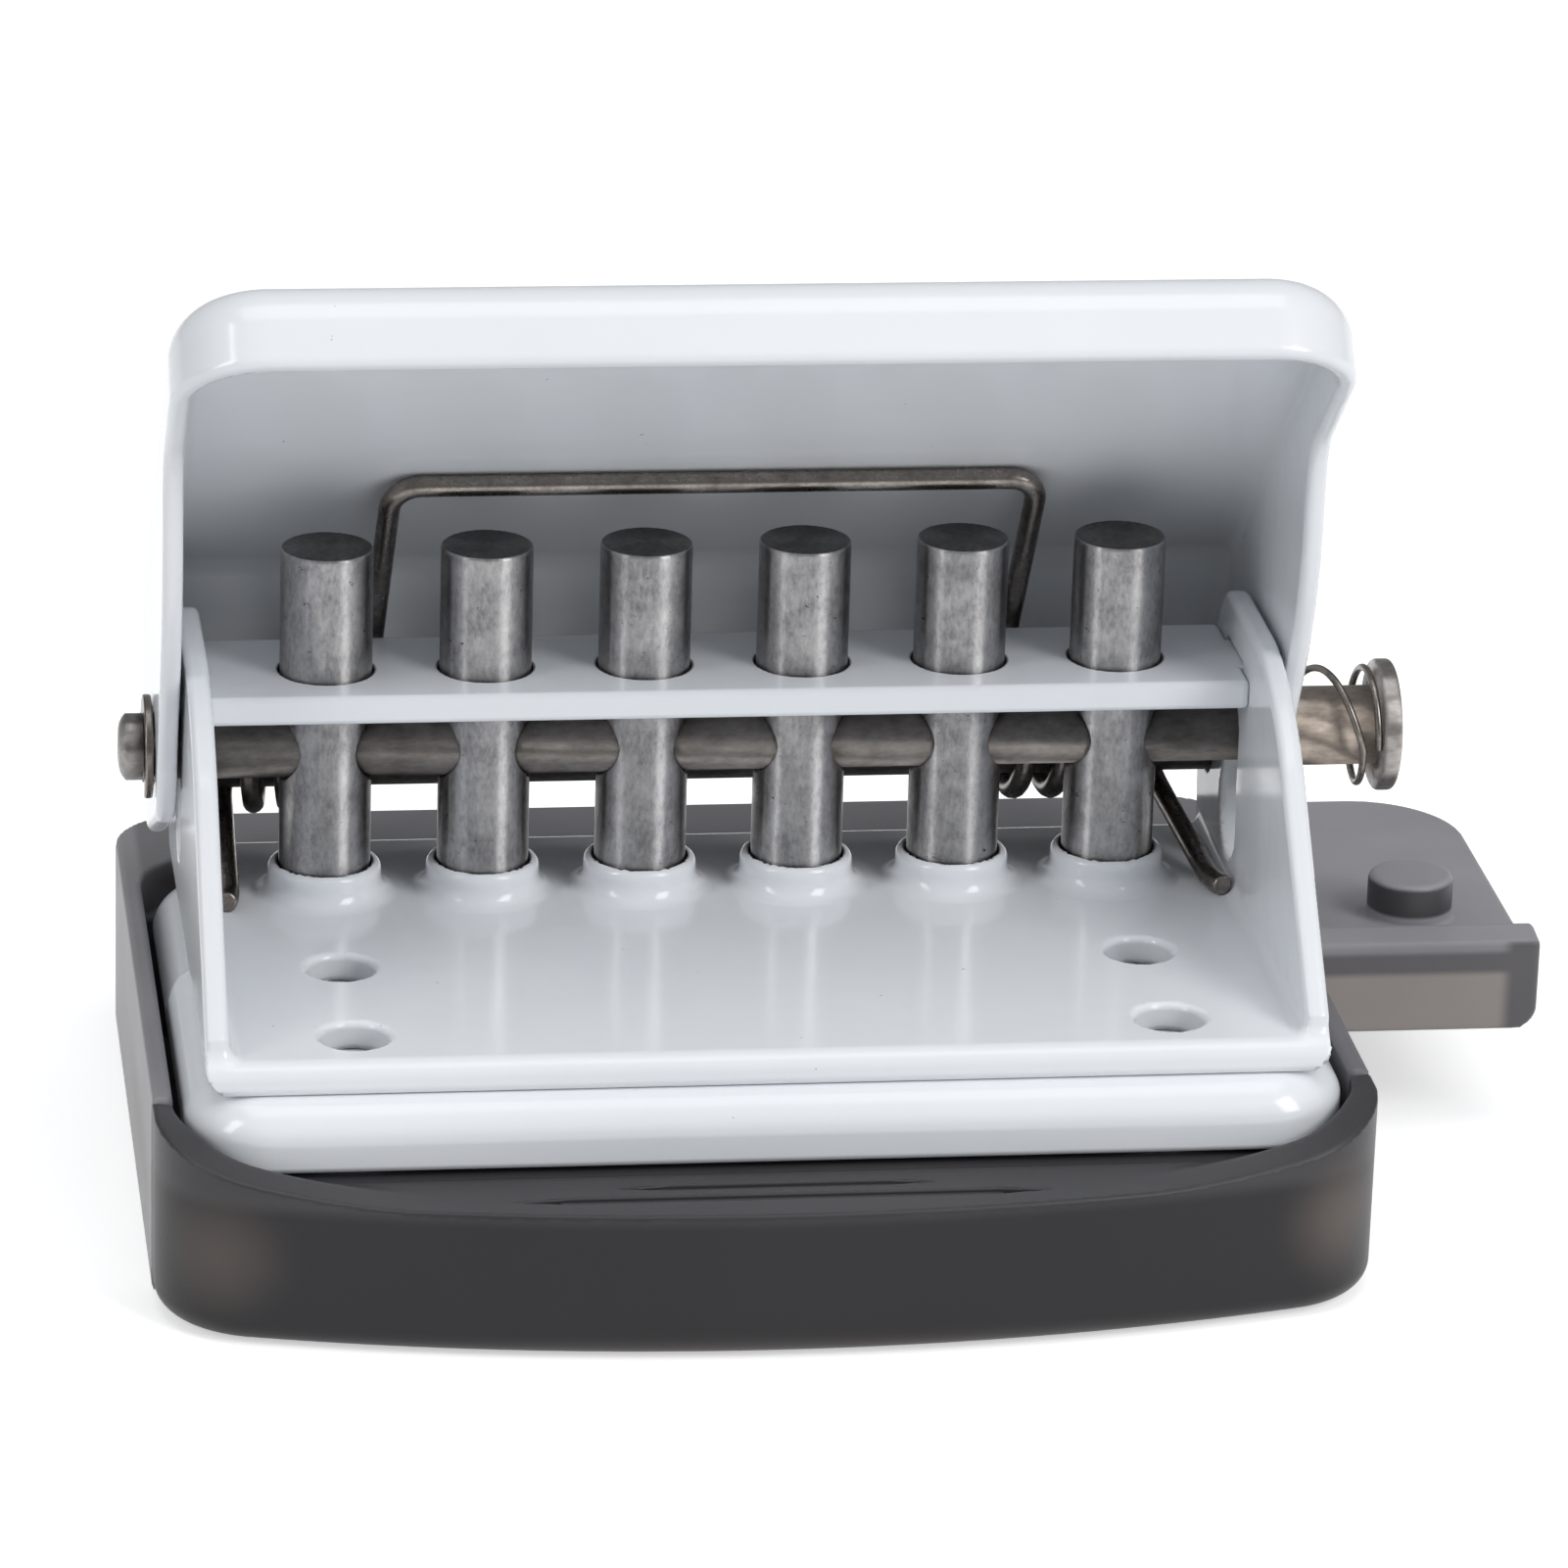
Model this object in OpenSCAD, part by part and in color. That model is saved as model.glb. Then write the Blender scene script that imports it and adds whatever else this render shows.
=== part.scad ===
// Six-hole loose-leaf paper punch with a chip drawer and a paper index.
// Millimetres. X runs along the row of punches, -Y is the front, where the lever is pressed, +Z is up.
// The origin is on the resting face, under the middle of the punch row.

/* [Punches] */
// Distance between neighbouring holes of the loose-leaf pattern
pitch = 9.5; // [9.2:0.1:10]
// Diameter of a punch
punch_d = 5.5; // [5:0.1:5.8]
// Length of a punch
punch_len = 23; // [22:0.5:23.2]
// Height of a punch's cutting end above the paper slot at rest
punch_recess = 0.6; // [0.3:0.1:0.8]
// Stroke of the punches
stroke = 5; // [4.6:0.1:5]
// Radial clearance of a punch in its guides and its die
punch_fit = 0.04; // [0.02:0.01:0.08]

/* [Frame] */
// Distance from the last punch's axis to the cheek
cheek_space = 7.35; // [7.2:0.05:7.8]
// Sheet thickness of the cheeks
cheek_t = 1.4; // [1.2:0.1:1.6]
// Height of the floor's top above the table
floor_z = 15; // [14.6:0.1:16]
// Thickness of the floor
floor_t = 1.8; // [1.5:0.1:1.9]
// Distance from the punch row to the floor's front edge
floor_front = 27.5; // [26.5:0.5:28]
// Distance from the punch row to the floor's rear edge
floor_rear = 8.5; // [8:0.1:8.8]
// Height of the cheeks above the floor
cheek_h = 17; // [16.6:0.1:17.2]
// Slope of the cheeks' front edge
cheek_slope = 46; // [42:1:50]
// Height of the collars around the punches
collar_h = 2; // [1:0.1:2.1]
// Thickness of the upper guide plate
guide_t = 1.8; // [1.4:0.1:1.9]
// Height of the guide plate's top above the floor
guide_h = 14.1; // [14:0.1:14.4]
// Diameter of the four fixing holes in the floor
fix_hole_d = 4; // [3:0.1:4.4]
// Distance between the fixing holes across the frame
fix_hole_dx = 47.4; // [44:0.2:48]
// Distance between the fixing holes from front to back
fix_hole_dy = 10.5; // [9:0.5:11]
// Distance from the punch row to the middle of the fixing holes
fix_hole_back = 17.6; // [17:0.1:18]

/* [Paper slot] */
// Height of the paper slot
slot_h = 1.2; // [0.8:0.1:1.3]
// Distance from the punch row to the paper stop
paper_edge = 6.2; // [6.1:0.1:6.6]

/* [Pan and die] */
// Sheet thickness of the pan
pan_t = 1.4; // [1.2:0.1:1.5]
// How far the pan stands out beyond the cheeks
pan_lip = 1.1; // [0.8:0.1:1.3]
// How far the pan stands out in front of the floor
pan_step = 2; // [1.4:0.1:2.4]
// Thickness of the die plate
die_t = 3.8; // [3.4:0.1:3.9]

/* [Shafts] */
// Diameter of the drive shaft
shaft_d = 4; // [3.6:0.1:4.2]
// Diameter of the drive shaft's thick end
lock_d = 4.8; // [4.6:0.1:5]
// Height of the drive shaft above the floor at rest
shaft_h = 9.4; // [9.3:0.1:9.5]
// Diameter of the drive shaft's head
head_d = 8; // [7.4:0.1:8.6]
// Thickness of the drive shaft's head
head_t = 1.1; // [0.9:0.1:1.4]
// Length of thick shaft that stands out of the lever
lock_out = 5.8; // [5.5:0.1:6.5]
// Diameter of the fulcrum rod
rod_d = 4; // [3.6:0.1:4]
// Distance of the fulcrum rod behind the punch row
rod_y = 7.5; // [7.4:0.1:7.6]
// Height of the fulcrum rod above the floor
rod_h = 6; // [5.9:0.1:6.1]
// Radial clearance of the shafts in the slots and holes that they run in
shaft_fit = 0.08; // [0.05:0.01:0.1]

/* [Lever] */
// Sheet thickness of the lever
lever_t = 1.2; // [1:0.1:1.4]
// Side clearance between the lever and the cheeks
lever_gap = 0.3; // [0.2:0.05:0.5]
// Distance from the fulcrum's axis to the lever's free end
lever_len = 43.4; // [40:0.2:46]
// Angle of the thumb plate above the horizontal at rest
lever_angle = 41.5; // [41:0.1:42]
// Distance from the fulcrum's axis to the thumb plate's underside
lever_off = 11; // [10.9:0.05:11.3]
// Depth of the lever's lip at the free end
lip_h = 5.8; // [4.5:0.1:6]
// Corner radius of the free end
lever_corner = 5.5; // [5:0.5:7]
// Radial play of the drive shaft in the lever's two slots
slot_play = 0.15; // [0.12:0.01:0.3]

/* [Spring wire] */
// Wire diameter of the return spring
wire_d = 1.3; // [1:0.1:1.3]
// Length of the return spring's crossbar
bail_w = 38.8; // [38.4:0.2:39]
// Turns in each coil of the return spring
return_turns = 4; // [3:1:4]
// Wire diameter of the lock spring
lock_wire_d = 0.45; // [0.3:0.05:0.45]
// Outer diameter of the lock spring
lock_spring_d = 7.4; // [6.6:0.1:7.4]

/* [Plastic base] */
// Clearance between the pan and the base's side walls
pan_gap = 0.6; // [0.4:0.1:0.8]
// Wall thickness of the plastic parts
base_t = 1.2; // [1.1:0.1:1.3]
// Distance from the punch row to the base's rear edge
base_rear = 21.4; // [21:0.1:22.4]
// Distance from the punch row to the middle of the drawer's front
base_front = 36.4; // [35:0.1:38]
// Distance from the punch row to the joint between base and drawer
seam_y = 24.4; // [24:0.1:25]
// Height of the ledge on the drawer's front
ledge_z = 9; // [8.6:0.1:9]
// Corner radius of the drawer's front
drawer_corner = 6.5; // [6:0.5:8]

/* [Paper index] */
// Distance of the index nub from the last punch, in pitches
nub_steps = 2; // [2:1:3]
// Diameter of the index nub
nub_d = 5.2; // [4.6:0.1:5.3]
// Height of the index nub
nub_h = 2.7; // [2:0.1:2.8]
// Distance from the nub's axis to the right end of the index
index_end = 7.1; // [6:0.1:9]
// Height of the index's front lip
index_lip_h = 6.1; // [5:0.1:6.6]

/* [Hidden] */
$fn = 48;
eps = 0.01;
past = 1;
far = 90;
punch_count = 6;
white = "#f2f4f7";
steel = "#8f8c88";
wire_grey = "#6b6259";
smoke = "#55545a";

// Heights of the paper slot, the shafts and the guide plate
slot_top = floor_z - floor_t;
table_z = slot_top - slot_h;
shaft_z = floor_z + shaft_h;
rod_z = floor_z + rod_h;
guide_top = floor_z + guide_h;
guide_bottom = guide_top - guide_t;

// Places across the width
last_punch = pitch * (punch_count - 1) / 2;
cheek_in = last_punch + cheek_space;
cheek_out = cheek_in + cheek_t;
lever_in = cheek_out + lever_gap;
lever_out = lever_in + lever_t;
head_in = lever_out + lock_out;
pan_half = cheek_out + pan_lip;
pocket_half = pan_half + pan_gap;
base_half = pocket_half + base_t;

// Running clearance of the plastic parts
play = 0.2;

// Swing of the lever about the fulcrum rod that moves the punches through their stroke
rod_at = [rod_y, rod_z];
shaft_at = [0, shaft_z];
shaft_rise = shaft_h - rod_h;
rest_tilt = atan2(shaft_rise, rod_y);
lever_swing = rest_tilt - atan2(shaft_rise - stroke, rod_y);
arm_long = norm(shaft_at - rod_at);

// Points along lines and curves
function punch_x(i) = (i - (punch_count - 1) / 2) * pitch;
function arc(centre, r, from, to, steps = 10) =
    [for (i = [0:steps]) let (a = from + (to - from) * i / steps) centre + r * [cos(a), sin(a)]];
function bezier(a, b, c, d, steps = 8) =
    [for (i = [0:steps]) let (t = i / steps, u = 1 - t)
        u * u * u * a + 3 * u * u * t * b + 3 * u * t * t * c + t * t * t * d];
function flipped(points) = [for (i = [len(points) - 1:-1:0]) [-points[i][0], points[i][1]]];

// General shapes
module block(lo, hi) {
    translate(lo) cube(hi - lo);
}

module along_x(x0, x1) {
    translate([x0, 0, 0]) rotate([90, 0, 90]) linear_extrude(x1 - x0) children();
}

module along_y(y0, y1) {
    translate([0, y1, 0]) rotate([90, 0, 0]) linear_extrude(y1 - y0) children();
}

module along_z(z0, z1) {
    translate([0, 0, z0]) linear_extrude(z1 - z0) children();
}

module rod_x(x0, x1, y, z, d) {
    translate([x0, y, z]) rotate([0, 90, 0]) cylinder(h = x1 - x0, d = d);
}

module cone_x(x0, x1, y, z, from_d, to_d) {
    translate([x0, y, z]) rotate([0, 90, 0]) cylinder(h = x1 - x0, d1 = from_d, d2 = to_d);
}

module post(x, y, z0, z1, d) {
    translate([x, y, z0]) cylinder(h = z1 - z0, d = d);
}

module cone(x, y, z0, z1, from_d, to_d) {
    translate([x, y, z0]) cylinder(h = z1 - z0, d1 = from_d, d2 = to_d);
}

module both_sides() {
    children();
    mirror([1, 0, 0]) children();
}

// A slot with round ends between two points
module long_hole(a, b, d) {
    translate(a) rotate(atan2(b[1] - a[1], b[0] - a[0])) {
        circle(d = d);
        translate([norm(b - a), 0]) circle(d = d);
        translate([0, -d / 2]) square([norm(b - a), d]);
    }
}

// A rectangle from lo to hi with front and rear corners of their own radii
module soft_rect(lo, hi, front_r, rear_r) {
    middle = (lo[1] + hi[1]) / 2;
    width = hi[0] - lo[0];
    translate([lo[0], middle - eps]) soft_end(width, hi[1] - middle + eps, rear_r);
    translate([lo[0], middle + eps]) mirror([0, 1]) soft_end(width, middle - lo[1] + eps, front_r);
}

module soft_end(width, length, r) {
    square([width, length - r]);
    if (r > 0) {
        translate([r, 0]) square([width - 2 * r, length]);
        for (x = [r, width - r]) translate([x, length - r]) circle(r = r);
    }
}

// A tube along a line of points, six-sided and made of triangles
function unit(v) = v / norm(v);
function heading(p, i) = unit(p[min(i + 1, len(p) - 1)] - p[max(i - 1, 0)]);
function squared(n, t) = unit(n - t * (n * t));
function normals(p, first, i = 0, done = []) = i == len(p) ? done :
    normals(p, first, i + 1, concat(done, [squared(i == 0 ? first : done[i - 1], heading(p, i))]));

module wire(p, d, first, sides = 6) {
    n = normals(p, first);
    last = (len(p) - 1) * sides;
    points = [for (i = [0:len(p) - 1], k = [0:sides - 1])
        let (a = 360 * k / sides) p[i] + d / 2 * (cos(a) * n[i] + sin(a) * cross(heading(p, i), n[i]))];
    walls = [for (i = [0:len(p) - 2], k = [0:sides - 1])
        let (a = i * sides + k, b = i * sides + (k + 1) % sides)
            each [[a, a + sides, b + sides], [a, b + sides, b]]];
    start_cap = [for (k = [1:sides - 2]) [0, k, k + 1]];
    end_cap = [for (k = [1:sides - 2]) [last, last + k + 1, last + k]];
    polyhedron(points, concat(walls, start_cap, end_cap));
}

// Least distance between stretches of one wire that aren't neighbours, less its diameter
function least_gap(p, d, apart) =
    min([for (i = [0:len(p) - 1]) for (j = [i + apart:1:len(p) - 1]) norm(p[i] - p[j])]) - d;

// Pressed frame: a floor with punch collars, and two cheeks
collar_d = punch_d + 1.3;
collar_foot_d = collar_d + 1.7;
cheek_foot = 1.2;
cheek_bend = 16;
ear_r = 3;
rod_land = 3.9;
rear_foot = floor_rear + 1.1;
rear_foot_turn = -40;
edge_r = 1.3;
lock_drop = 0.8;

module cheek_profile() {
    slope_turn = cheek_bend * tan(cheek_slope / 2);
    front = -floor_front + edge_r;
    top = floor_z + cheek_h;
    knee_y = front + (cheek_h - cheek_foot) / tan(cheek_slope);
    ear_z = top - ear_r;
    ear_y = rod_y + (rod_land - ear_r - (ear_z - rod_z) * sin(lever_swing)) / cos(lever_swing);
    polygon(concat(
        [[front, slot_top], [front, floor_z + cheek_foot]],
        arc([knee_y + slope_turn, top - cheek_bend], cheek_bend, 90 + cheek_slope, 90),
        arc([ear_y, ear_z], ear_r, 90, lever_swing),
        arc(rod_at, rod_land, lever_swing, rear_foot_turn),
        [[rear_foot, slot_top]]));
}

module floor_profile() {
    polygon(concat(
        [[floor_rear, slot_top], [floor_rear, floor_z]],
        arc([-floor_front + edge_r, floor_z - edge_r], edge_r, 90, 180, 6),
        [[-floor_front, slot_top]]));
}

module punch_bores(z0, z1, relief = 0) {
    for (i = [0:punch_count - 1]) post(punch_x(i), 0, z0, z1, punch_d + 2 * punch_fit + relief);
}

module fix_holes(z0, z1) {
    for (x = [-1, 1], y = [-1, 1])
        post(x * fix_hole_dx / 2, -fix_hole_back + y * fix_hole_dy / 2, z0, z1, fix_hole_d);
}

module body_frame() color(white) difference() {
    union() {
        along_x(-cheek_out, cheek_out) floor_profile();
        both_sides() along_x(cheek_in, cheek_out) cheek_profile();
        for (i = [0:punch_count - 1]) {
            post(punch_x(i), 0, slot_top, floor_z + collar_h, collar_d);
            cone(punch_x(i), 0, floor_z, floor_z + collar_h / 2, collar_foot_d, collar_d);
        }
    }
    punch_bores(slot_top - past, floor_z + collar_h + past);
    fix_holes(slot_top - past, floor_z + past);
    both_sides() along_x(cheek_in - past, cheek_out + past) {
        long_hole(shaft_at, shaft_at - [0, stroke], shaft_d + 2 * shaft_fit);
        translate([guide_tab[0], guide_bottom]) square([guide_tab[1] - guide_tab[0], guide_t]);
        translate(rod_at) circle(d = rod_d);
    }
    along_x(cheek_in - past, cheek_out + past)
        long_hole(shaft_at - [0, stroke], shaft_at - [0, stroke + lock_drop], lock_d + 4 * shaft_fit);
}

// Upper guide plate, tabbed through the cheeks
guide_edge = [-5, 5.6];
guide_tab = [-2.4, 2.6];

module guide_plate() color(white) difference() {
    union() {
        block([-cheek_in, guide_edge[0], guide_bottom], [cheek_in, guide_edge[1], guide_top]);
        block([-cheek_out, guide_tab[0], guide_bottom], [cheek_out, guide_tab[1], guide_top]);
    }
    punch_bores(guide_bottom - past, guide_top + past);
}

// Pressed pan under the frame: its step is the paper stop and its skirt hides the joint to the base
pan_front = floor_front + pan_step;
pan_rear = floor_rear + 4.3;
skirt_z = ledge_z + play;
skirt_corner = 5;
skirt_edge = 2.6;
die_land = [last_punch + 4.15, 4.6];
die_seat = table_z - pan_t;
stop_y = [-paper_edge - pan_t, -paper_edge];

// The pan's outer form between two distances from the punch row, up to a given height
module pan_form(y0, y1, top) {
    intersection() {
        along_z(skirt_z, top)
            soft_rect([-pan_half, -pan_front], [pan_half, pan_rear], skirt_corner, skirt_corner);
        along_y(y0, y1) soft_rect([-pan_half, 0], [pan_half, top], 0, skirt_edge);
        along_x(-pan_half, pan_half) soft_rect([-pan_front, 0], [2 * pan_front, top], 0, skirt_edge);
    }
}

module pan_inside(y1, top, rear_r) {
    r = skirt_corner - pan_t;
    along_z(skirt_z - past, top)
        soft_rect([-pan_half + pan_t, -pan_front + pan_t], [pan_half - pan_t, y1], r, rear_r);
}

module base_pan() color(white) difference() {
    union() {
        pan_form(-pan_front, stop_y[1], slot_top);
        pan_form(stop_y[0], pan_rear, table_z);
    }
    pan_inside(stop_y[0], slot_top - pan_t, 0);
    pan_inside(pan_rear - pan_t, die_seat, skirt_corner - pan_t);
    block([-die_land[0], -die_land[1], die_seat - past], [die_land[0], die_land[1], table_z + past]);
    fix_holes(skirt_z, slot_top + past);
    both_sides() for (y = screw_y) post(screw_x, y, skirt_z, slot_top + past, screw_d);
    both_sides() {
        post(rivet_x, 0, skirt_z, table_z + past, rivet_d);
        cone(rivet_x, 0, table_z - rivet_sink, table_z, rivet_d, rivet_head_d);
    }
}

// Hardened die plate, set in a window of the pan
die_flange = [cheek_in - 0.1, 5.2];
die_relief = 0.9;
die_lip = 1.8;
die_bottom = table_z - die_t;

module die_plate() color(steel) difference() {
    union() {
        block([-die_flange[0], -die_flange[1], die_bottom], [die_flange[0], die_flange[1], die_seat]);
        block([-die_land[0], -die_land[1], die_bottom], [die_land[0], die_land[1], table_z]);
    }
    punch_bores(die_bottom - past, table_z + past);
    punch_bores(die_bottom - past, table_z - die_lip, die_relief);
    both_sides() post(rivet_x, 0, die_bottom - past, table_z, rivet_d);
}

// Two flush rivets that hold the die plate in the pan
rivet_x = die_land[0] + 1.6;
rivet_d = 2;
rivet_head_d = 2.8;
rivet_sink = 0.5;
rivet_tail = 0.5;

module die_rivets() color(steel) both_sides() {
    post(rivet_x, 0, die_bottom, table_z - rivet_sink, rivet_d);
    cone(rivet_x, 0, table_z - rivet_sink, table_z, rivet_d, rivet_head_d);
    post(rivet_x, 0, die_bottom - rivet_tail, die_bottom, rivet_head_d);
}

// Smoke-coloured plastic base: it carries the pan, makes the paper table, and houses drawer and index
pocket_rear = pan_rear + 1.4;
pocket_corner = 5.2;
table_skin = 1.4;
base_corner = 5;
boss_d = 6;
boss_wall = 2.2;
screw_x = cheek_in - 2.3;
screw_y = [-seam_y + boss_d / 2 + 0.8, stop_y[0] - boss_d / 2 - 0.2];
channel = [pocket_rear + base_t, base_rear - base_t];
rail_t = 1.2;
rail_x = 0;
tongue_y = [channel[0] + 0.9, channel[1] - 0.8];
tongue_z = [table_z - 4.9, table_z - table_skin - play];

module base_shell() color(smoke) difference() {
    union() {
        difference() {
            along_z(0, table_z) soft_rect([-base_half, -seam_y], [base_half, base_rear], 0, base_corner);
            along_z(base_t, table_z + past) soft_rect([-pocket_half, -seam_y - past],
                [pocket_half, pocket_rear], 0, pocket_corner);
            along_z(base_t, table_z - table_skin) soft_rect([-pocket_half, channel[0]],
                [pocket_half, channel[1]], 0, base_corner - base_t);
        }
        both_sides() for (y = screw_y) post(screw_x, y, 0, slot_top - pan_t, boss_d);
        both_sides() block([die_flange[0] + play, pan_rear - 2, 0],
            [pocket_half + eps, pocket_rear + eps, skirt_z]);
        for (y = [tongue_y[0] - play, tongue_y[1] + play - rail_t])
            block([rail_x, y, 0], [pocket_half + eps, y + rail_t, tongue_z[0] - play]);
    }
    both_sides() for (y = screw_y) {
        post(screw_x, y, -past, slot_top, screw_d);
        post(screw_x, y, -past, screw_seat, screw_head_d + 2 * play);
    }
    block([pocket_half - base_corner, tongue_y[0] - play, tongue_z[0] - play],
        [base_half + past, tongue_y[1] + play, tongue_z[1] + play]);
}

// Four self-tapping screws that hold the base to the pan
screw_d = 2.2;
screw_head_d = 4;
screw_head_t = 1.5;
screw_seat = 2.4;
cross_slot = [2.4, 0.5, 0.7];

module base_screws() color(steel) both_sides() for (y = screw_y) difference() {
    bottom = screw_seat - screw_head_t;
    union() {
        post(screw_x, y, bottom, screw_seat, screw_head_d);
        post(screw_x, y, screw_seat, slot_top - play, screw_d);
    }
    for (turn = [0, 90])
        translate([screw_x, y, bottom]) rotate(turn)
            translate([-cross_slot[0] / 2, -cross_slot[1] / 2, -eps]) cube(cross_slot);
}

// Fulcrum rod, fast in the cheeks, on which the lever and the spring's coils turn
rod_chamfer = 0.4;

module fulcrum_rod() color(steel) {
    inner = lever_out - rod_chamfer;
    rod_x(-inner, inner, rod_y, rod_z, rod_d);
    both_sides() cone_x(inner - eps, lever_out, rod_y, rod_z, rod_d, rod_d - 2 * rod_chamfer);
}

// Return spring: one wire with two coils, a bail that lifts the lever, and two legs on the floor.
// The bail leans a little to the left, and its coils and legs differ: the left one comes first in each pair.
coil_gap = 0.3;
coil_r = rod_d / 2 + wire_d / 2 + coil_gap;
coil_out = [cheek_in - 1.7, cheek_in - 3];
coil_rings = 8;
bail_corner = 1.8;
bail_shift = -0.4;
bail_lean = -0.9;
foot_y = -2.4;
foot_x = [cheek_in - 1.5, cheek_in - 1.4];
leg_end = [[cheek_in - 1.3, -3.3], [cheek_in - 0.8, -3.9]];
bar_reach = 16.8;
bar_off = lever_off - wire_d / 2 - 0.05;

function lever_point(s, n) =
    rod_at + [n * sin(lever_angle) - s * cos(lever_angle), s * sin(lever_angle) + n * cos(lever_angle)];
function on_coil(x, a) = [x, rod_y + coil_r * cos(a), rod_z + coil_r * sin(a)];

bar_at = lever_point(bar_reach, bar_off);
bar_rel = bar_at - rod_at;
bar_angle = atan2(bar_rel[1], bar_rel[0]) - acos(coil_r / norm(bar_rel));
leg_z = floor_z + wire_d / 2;
leg_rel = [foot_y - rod_y, leg_z - rod_z];
leg_angle = atan2(leg_rel[1], leg_rel[0]) + acos(coil_r / norm(leg_rel));
coil_sweep = bar_angle - leg_angle + 360 * return_turns;

// Each half runs outwards from the middle of the crossbar; side is 0 on the left and 1 on the right
function outward(side) = 2 * side - 1;
function bail_x(side) = outward(side) * bail_w / 2 + bail_shift;
function half_bail(side) = let (
        x = bail_x(side),
        out = outward(side),
        corner = [x, bar_at[0], bar_at[1]],
        leg = on_coil(x + bail_lean, bar_angle) - corner,
        down = unit(leg))
    concat(
        [for (k = [0:3]) [k * (x - out * bail_corner) / 3, bar_at[0], bar_at[1]]],
        [for (a = [30, 60, 90]) corner + bail_corner * ((sin(a) - 1) * [out, 0, 0] + (1 - cos(a)) * down)],
        [for (k = [1:3]) corner + down * (bail_corner + (norm(leg) - bail_corner) * k / 4)]);
function half_coil(side) = let (
        steps = round(coil_sweep / 360 * coil_rings),
        start = bail_x(side) + bail_lean,
        run = outward(side) * coil_out[side] - start)
    [for (i = [0:steps]) on_coil(start + run * i / steps, bar_angle - coil_sweep * i / steps)];
function half_leg(side) = let (
        out = outward(side),
        start = on_coil(out * coil_out[side], bar_angle - coil_sweep),
        foot = [out * foot_x[side], foot_y, leg_z],
        end = [out * leg_end[side][0], leg_end[side][1], leg_z])
    concat(
        [for (t = [0.5, 0.9]) start + t * (foot - start)],
        [for (t = [0.25, 0.5, 1]) foot + t * (end - foot)]);
function half_spring(side) = concat(half_bail(side), half_coil(side), half_leg(side));
left_half = half_spring(0);
return_path = concat([for (i = [len(left_half) - 1:-1:1]) left_half[i]], half_spring(1));

module return_spring() color(wire_grey) wire(return_path, wire_d, [0, 0, 1]);

// Lever: a pressed hood whose two walls turn on the fulcrum rod and carry the drive shaft
lever_top = lever_off + lever_t;
lever_rear = 4.8;
lever_back = lever_rear + lever_t;
lever_skirt = 3.6;
lever_edge = 3;
wall_land = 4.6;
wall_waist = [-10.3, 17.6];
lip_n = lever_top - lip_h;
lip_start = 31.5;

module lever_profile() {
    bend_s = (lever_top * sin(lever_angle) - lever_back) / cos(lever_angle);
    square_to_arm = 180 - rest_tilt - 90 - 180;
    low = shaft_at - [wall_land, 0];
    waist = shaft_at + wall_waist;
    polygon(concat(
        [lever_point(lever_len, lip_n), lever_point(lever_len, lever_top)],
        [lever_point(bend_s, lever_top), rod_at + [lever_back, -lever_skirt]],
        arc(rod_at, wall_land, -50, square_to_arm),
        arc(shaft_at, wall_land, square_to_arm, -180),
        bezier(low, low + [-1.2, 4.6], waist + [-0.3, -9], waist),
        bezier(waist, waist + [-0.1, 2.2], lever_point(lip_start - 1.9, lip_n), lever_point(lip_start, lip_n))));
}

module lever_cavity() {
    bend_s = (lever_off * sin(lever_angle) - lever_rear) / cos(lever_angle);
    end_s = lever_len - lever_t;
    polygon([lever_point(end_s, lever_off), lever_point(bend_s, lever_off), rod_at + [lever_rear, -far],
        rod_at - [far, far], lever_point(end_s, -far)]);
}

// Puts its children in the lever's own frame: Y along the thumb plate, -Z out of it
module on_lever() {
    translate([0, rod_y, rod_z]) rotate([180 - lever_angle, 0, 0]) children();
}

module lever_plan(half, length, r) {
    on_lever() along_z(-far, far) soft_rect([-half, -far], [half, length], 0, r);
}

module lever_holes(d) {
    to_shaft = unit(shaft_at - rod_at);
    long_hole(rod_at + rod_y * to_shaft, shaft_at, d + 2 * slot_play);
    translate(rod_at) circle(d = rod_d + 2 * shaft_fit);
}

module lever() color(white) difference() {
    intersection() {
        along_x(-lever_out, lever_out) lever_profile();
        lever_plan(lever_out, lever_len, lever_corner);
        on_lever() along_y(-far, far)
            mirror([0, 1]) soft_rect([-lever_out, -far], [lever_out, lever_top], 0, lever_edge);
        along_z(0, far) soft_rect([-lever_out, -far], [lever_out, rod_y + lever_back], 0, lever_edge);
    }
    intersection() {
        along_x(-lever_in, lever_in) lever_cavity();
        lever_plan(lever_in, lever_len - lever_t, lever_corner - lever_t);
    }
    along_x(-lever_out - past, 0) lever_holes(shaft_d);
    along_x(0, lever_out + past) lever_holes(lock_d);
}

// Punches: hollow-ground at the cutting end, cross-drilled for the drive shaft
punch_bottom = slot_top + punch_recess;
punch_top = punch_bottom + punch_len;
punch_chamfer = 0.2;
grind_r = 7;
grind_depth = 0.5;

module punch(i) color(steel) translate([punch_x(i), 0, 0]) difference() {
    union() {
        post(0, 0, punch_bottom, punch_top - punch_chamfer, punch_d);
        cone(0, 0, punch_top - punch_chamfer, punch_top, punch_d, punch_d - 2 * punch_chamfer);
    }
    rod_x(-punch_d, punch_d, 0, shaft_z, shaft_d + 2 * shaft_fit);
    rod_x(-punch_d, punch_d, 0, punch_bottom + grind_depth - grind_r, 2 * grind_r);
}

module punch_1() { punch(0); }
module punch_2() { punch(1); }
module punch_3() { punch(2); }
module punch_4() { punch(3); }
module punch_5() { punch(4); }
module punch_6() { punch(5); }

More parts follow.
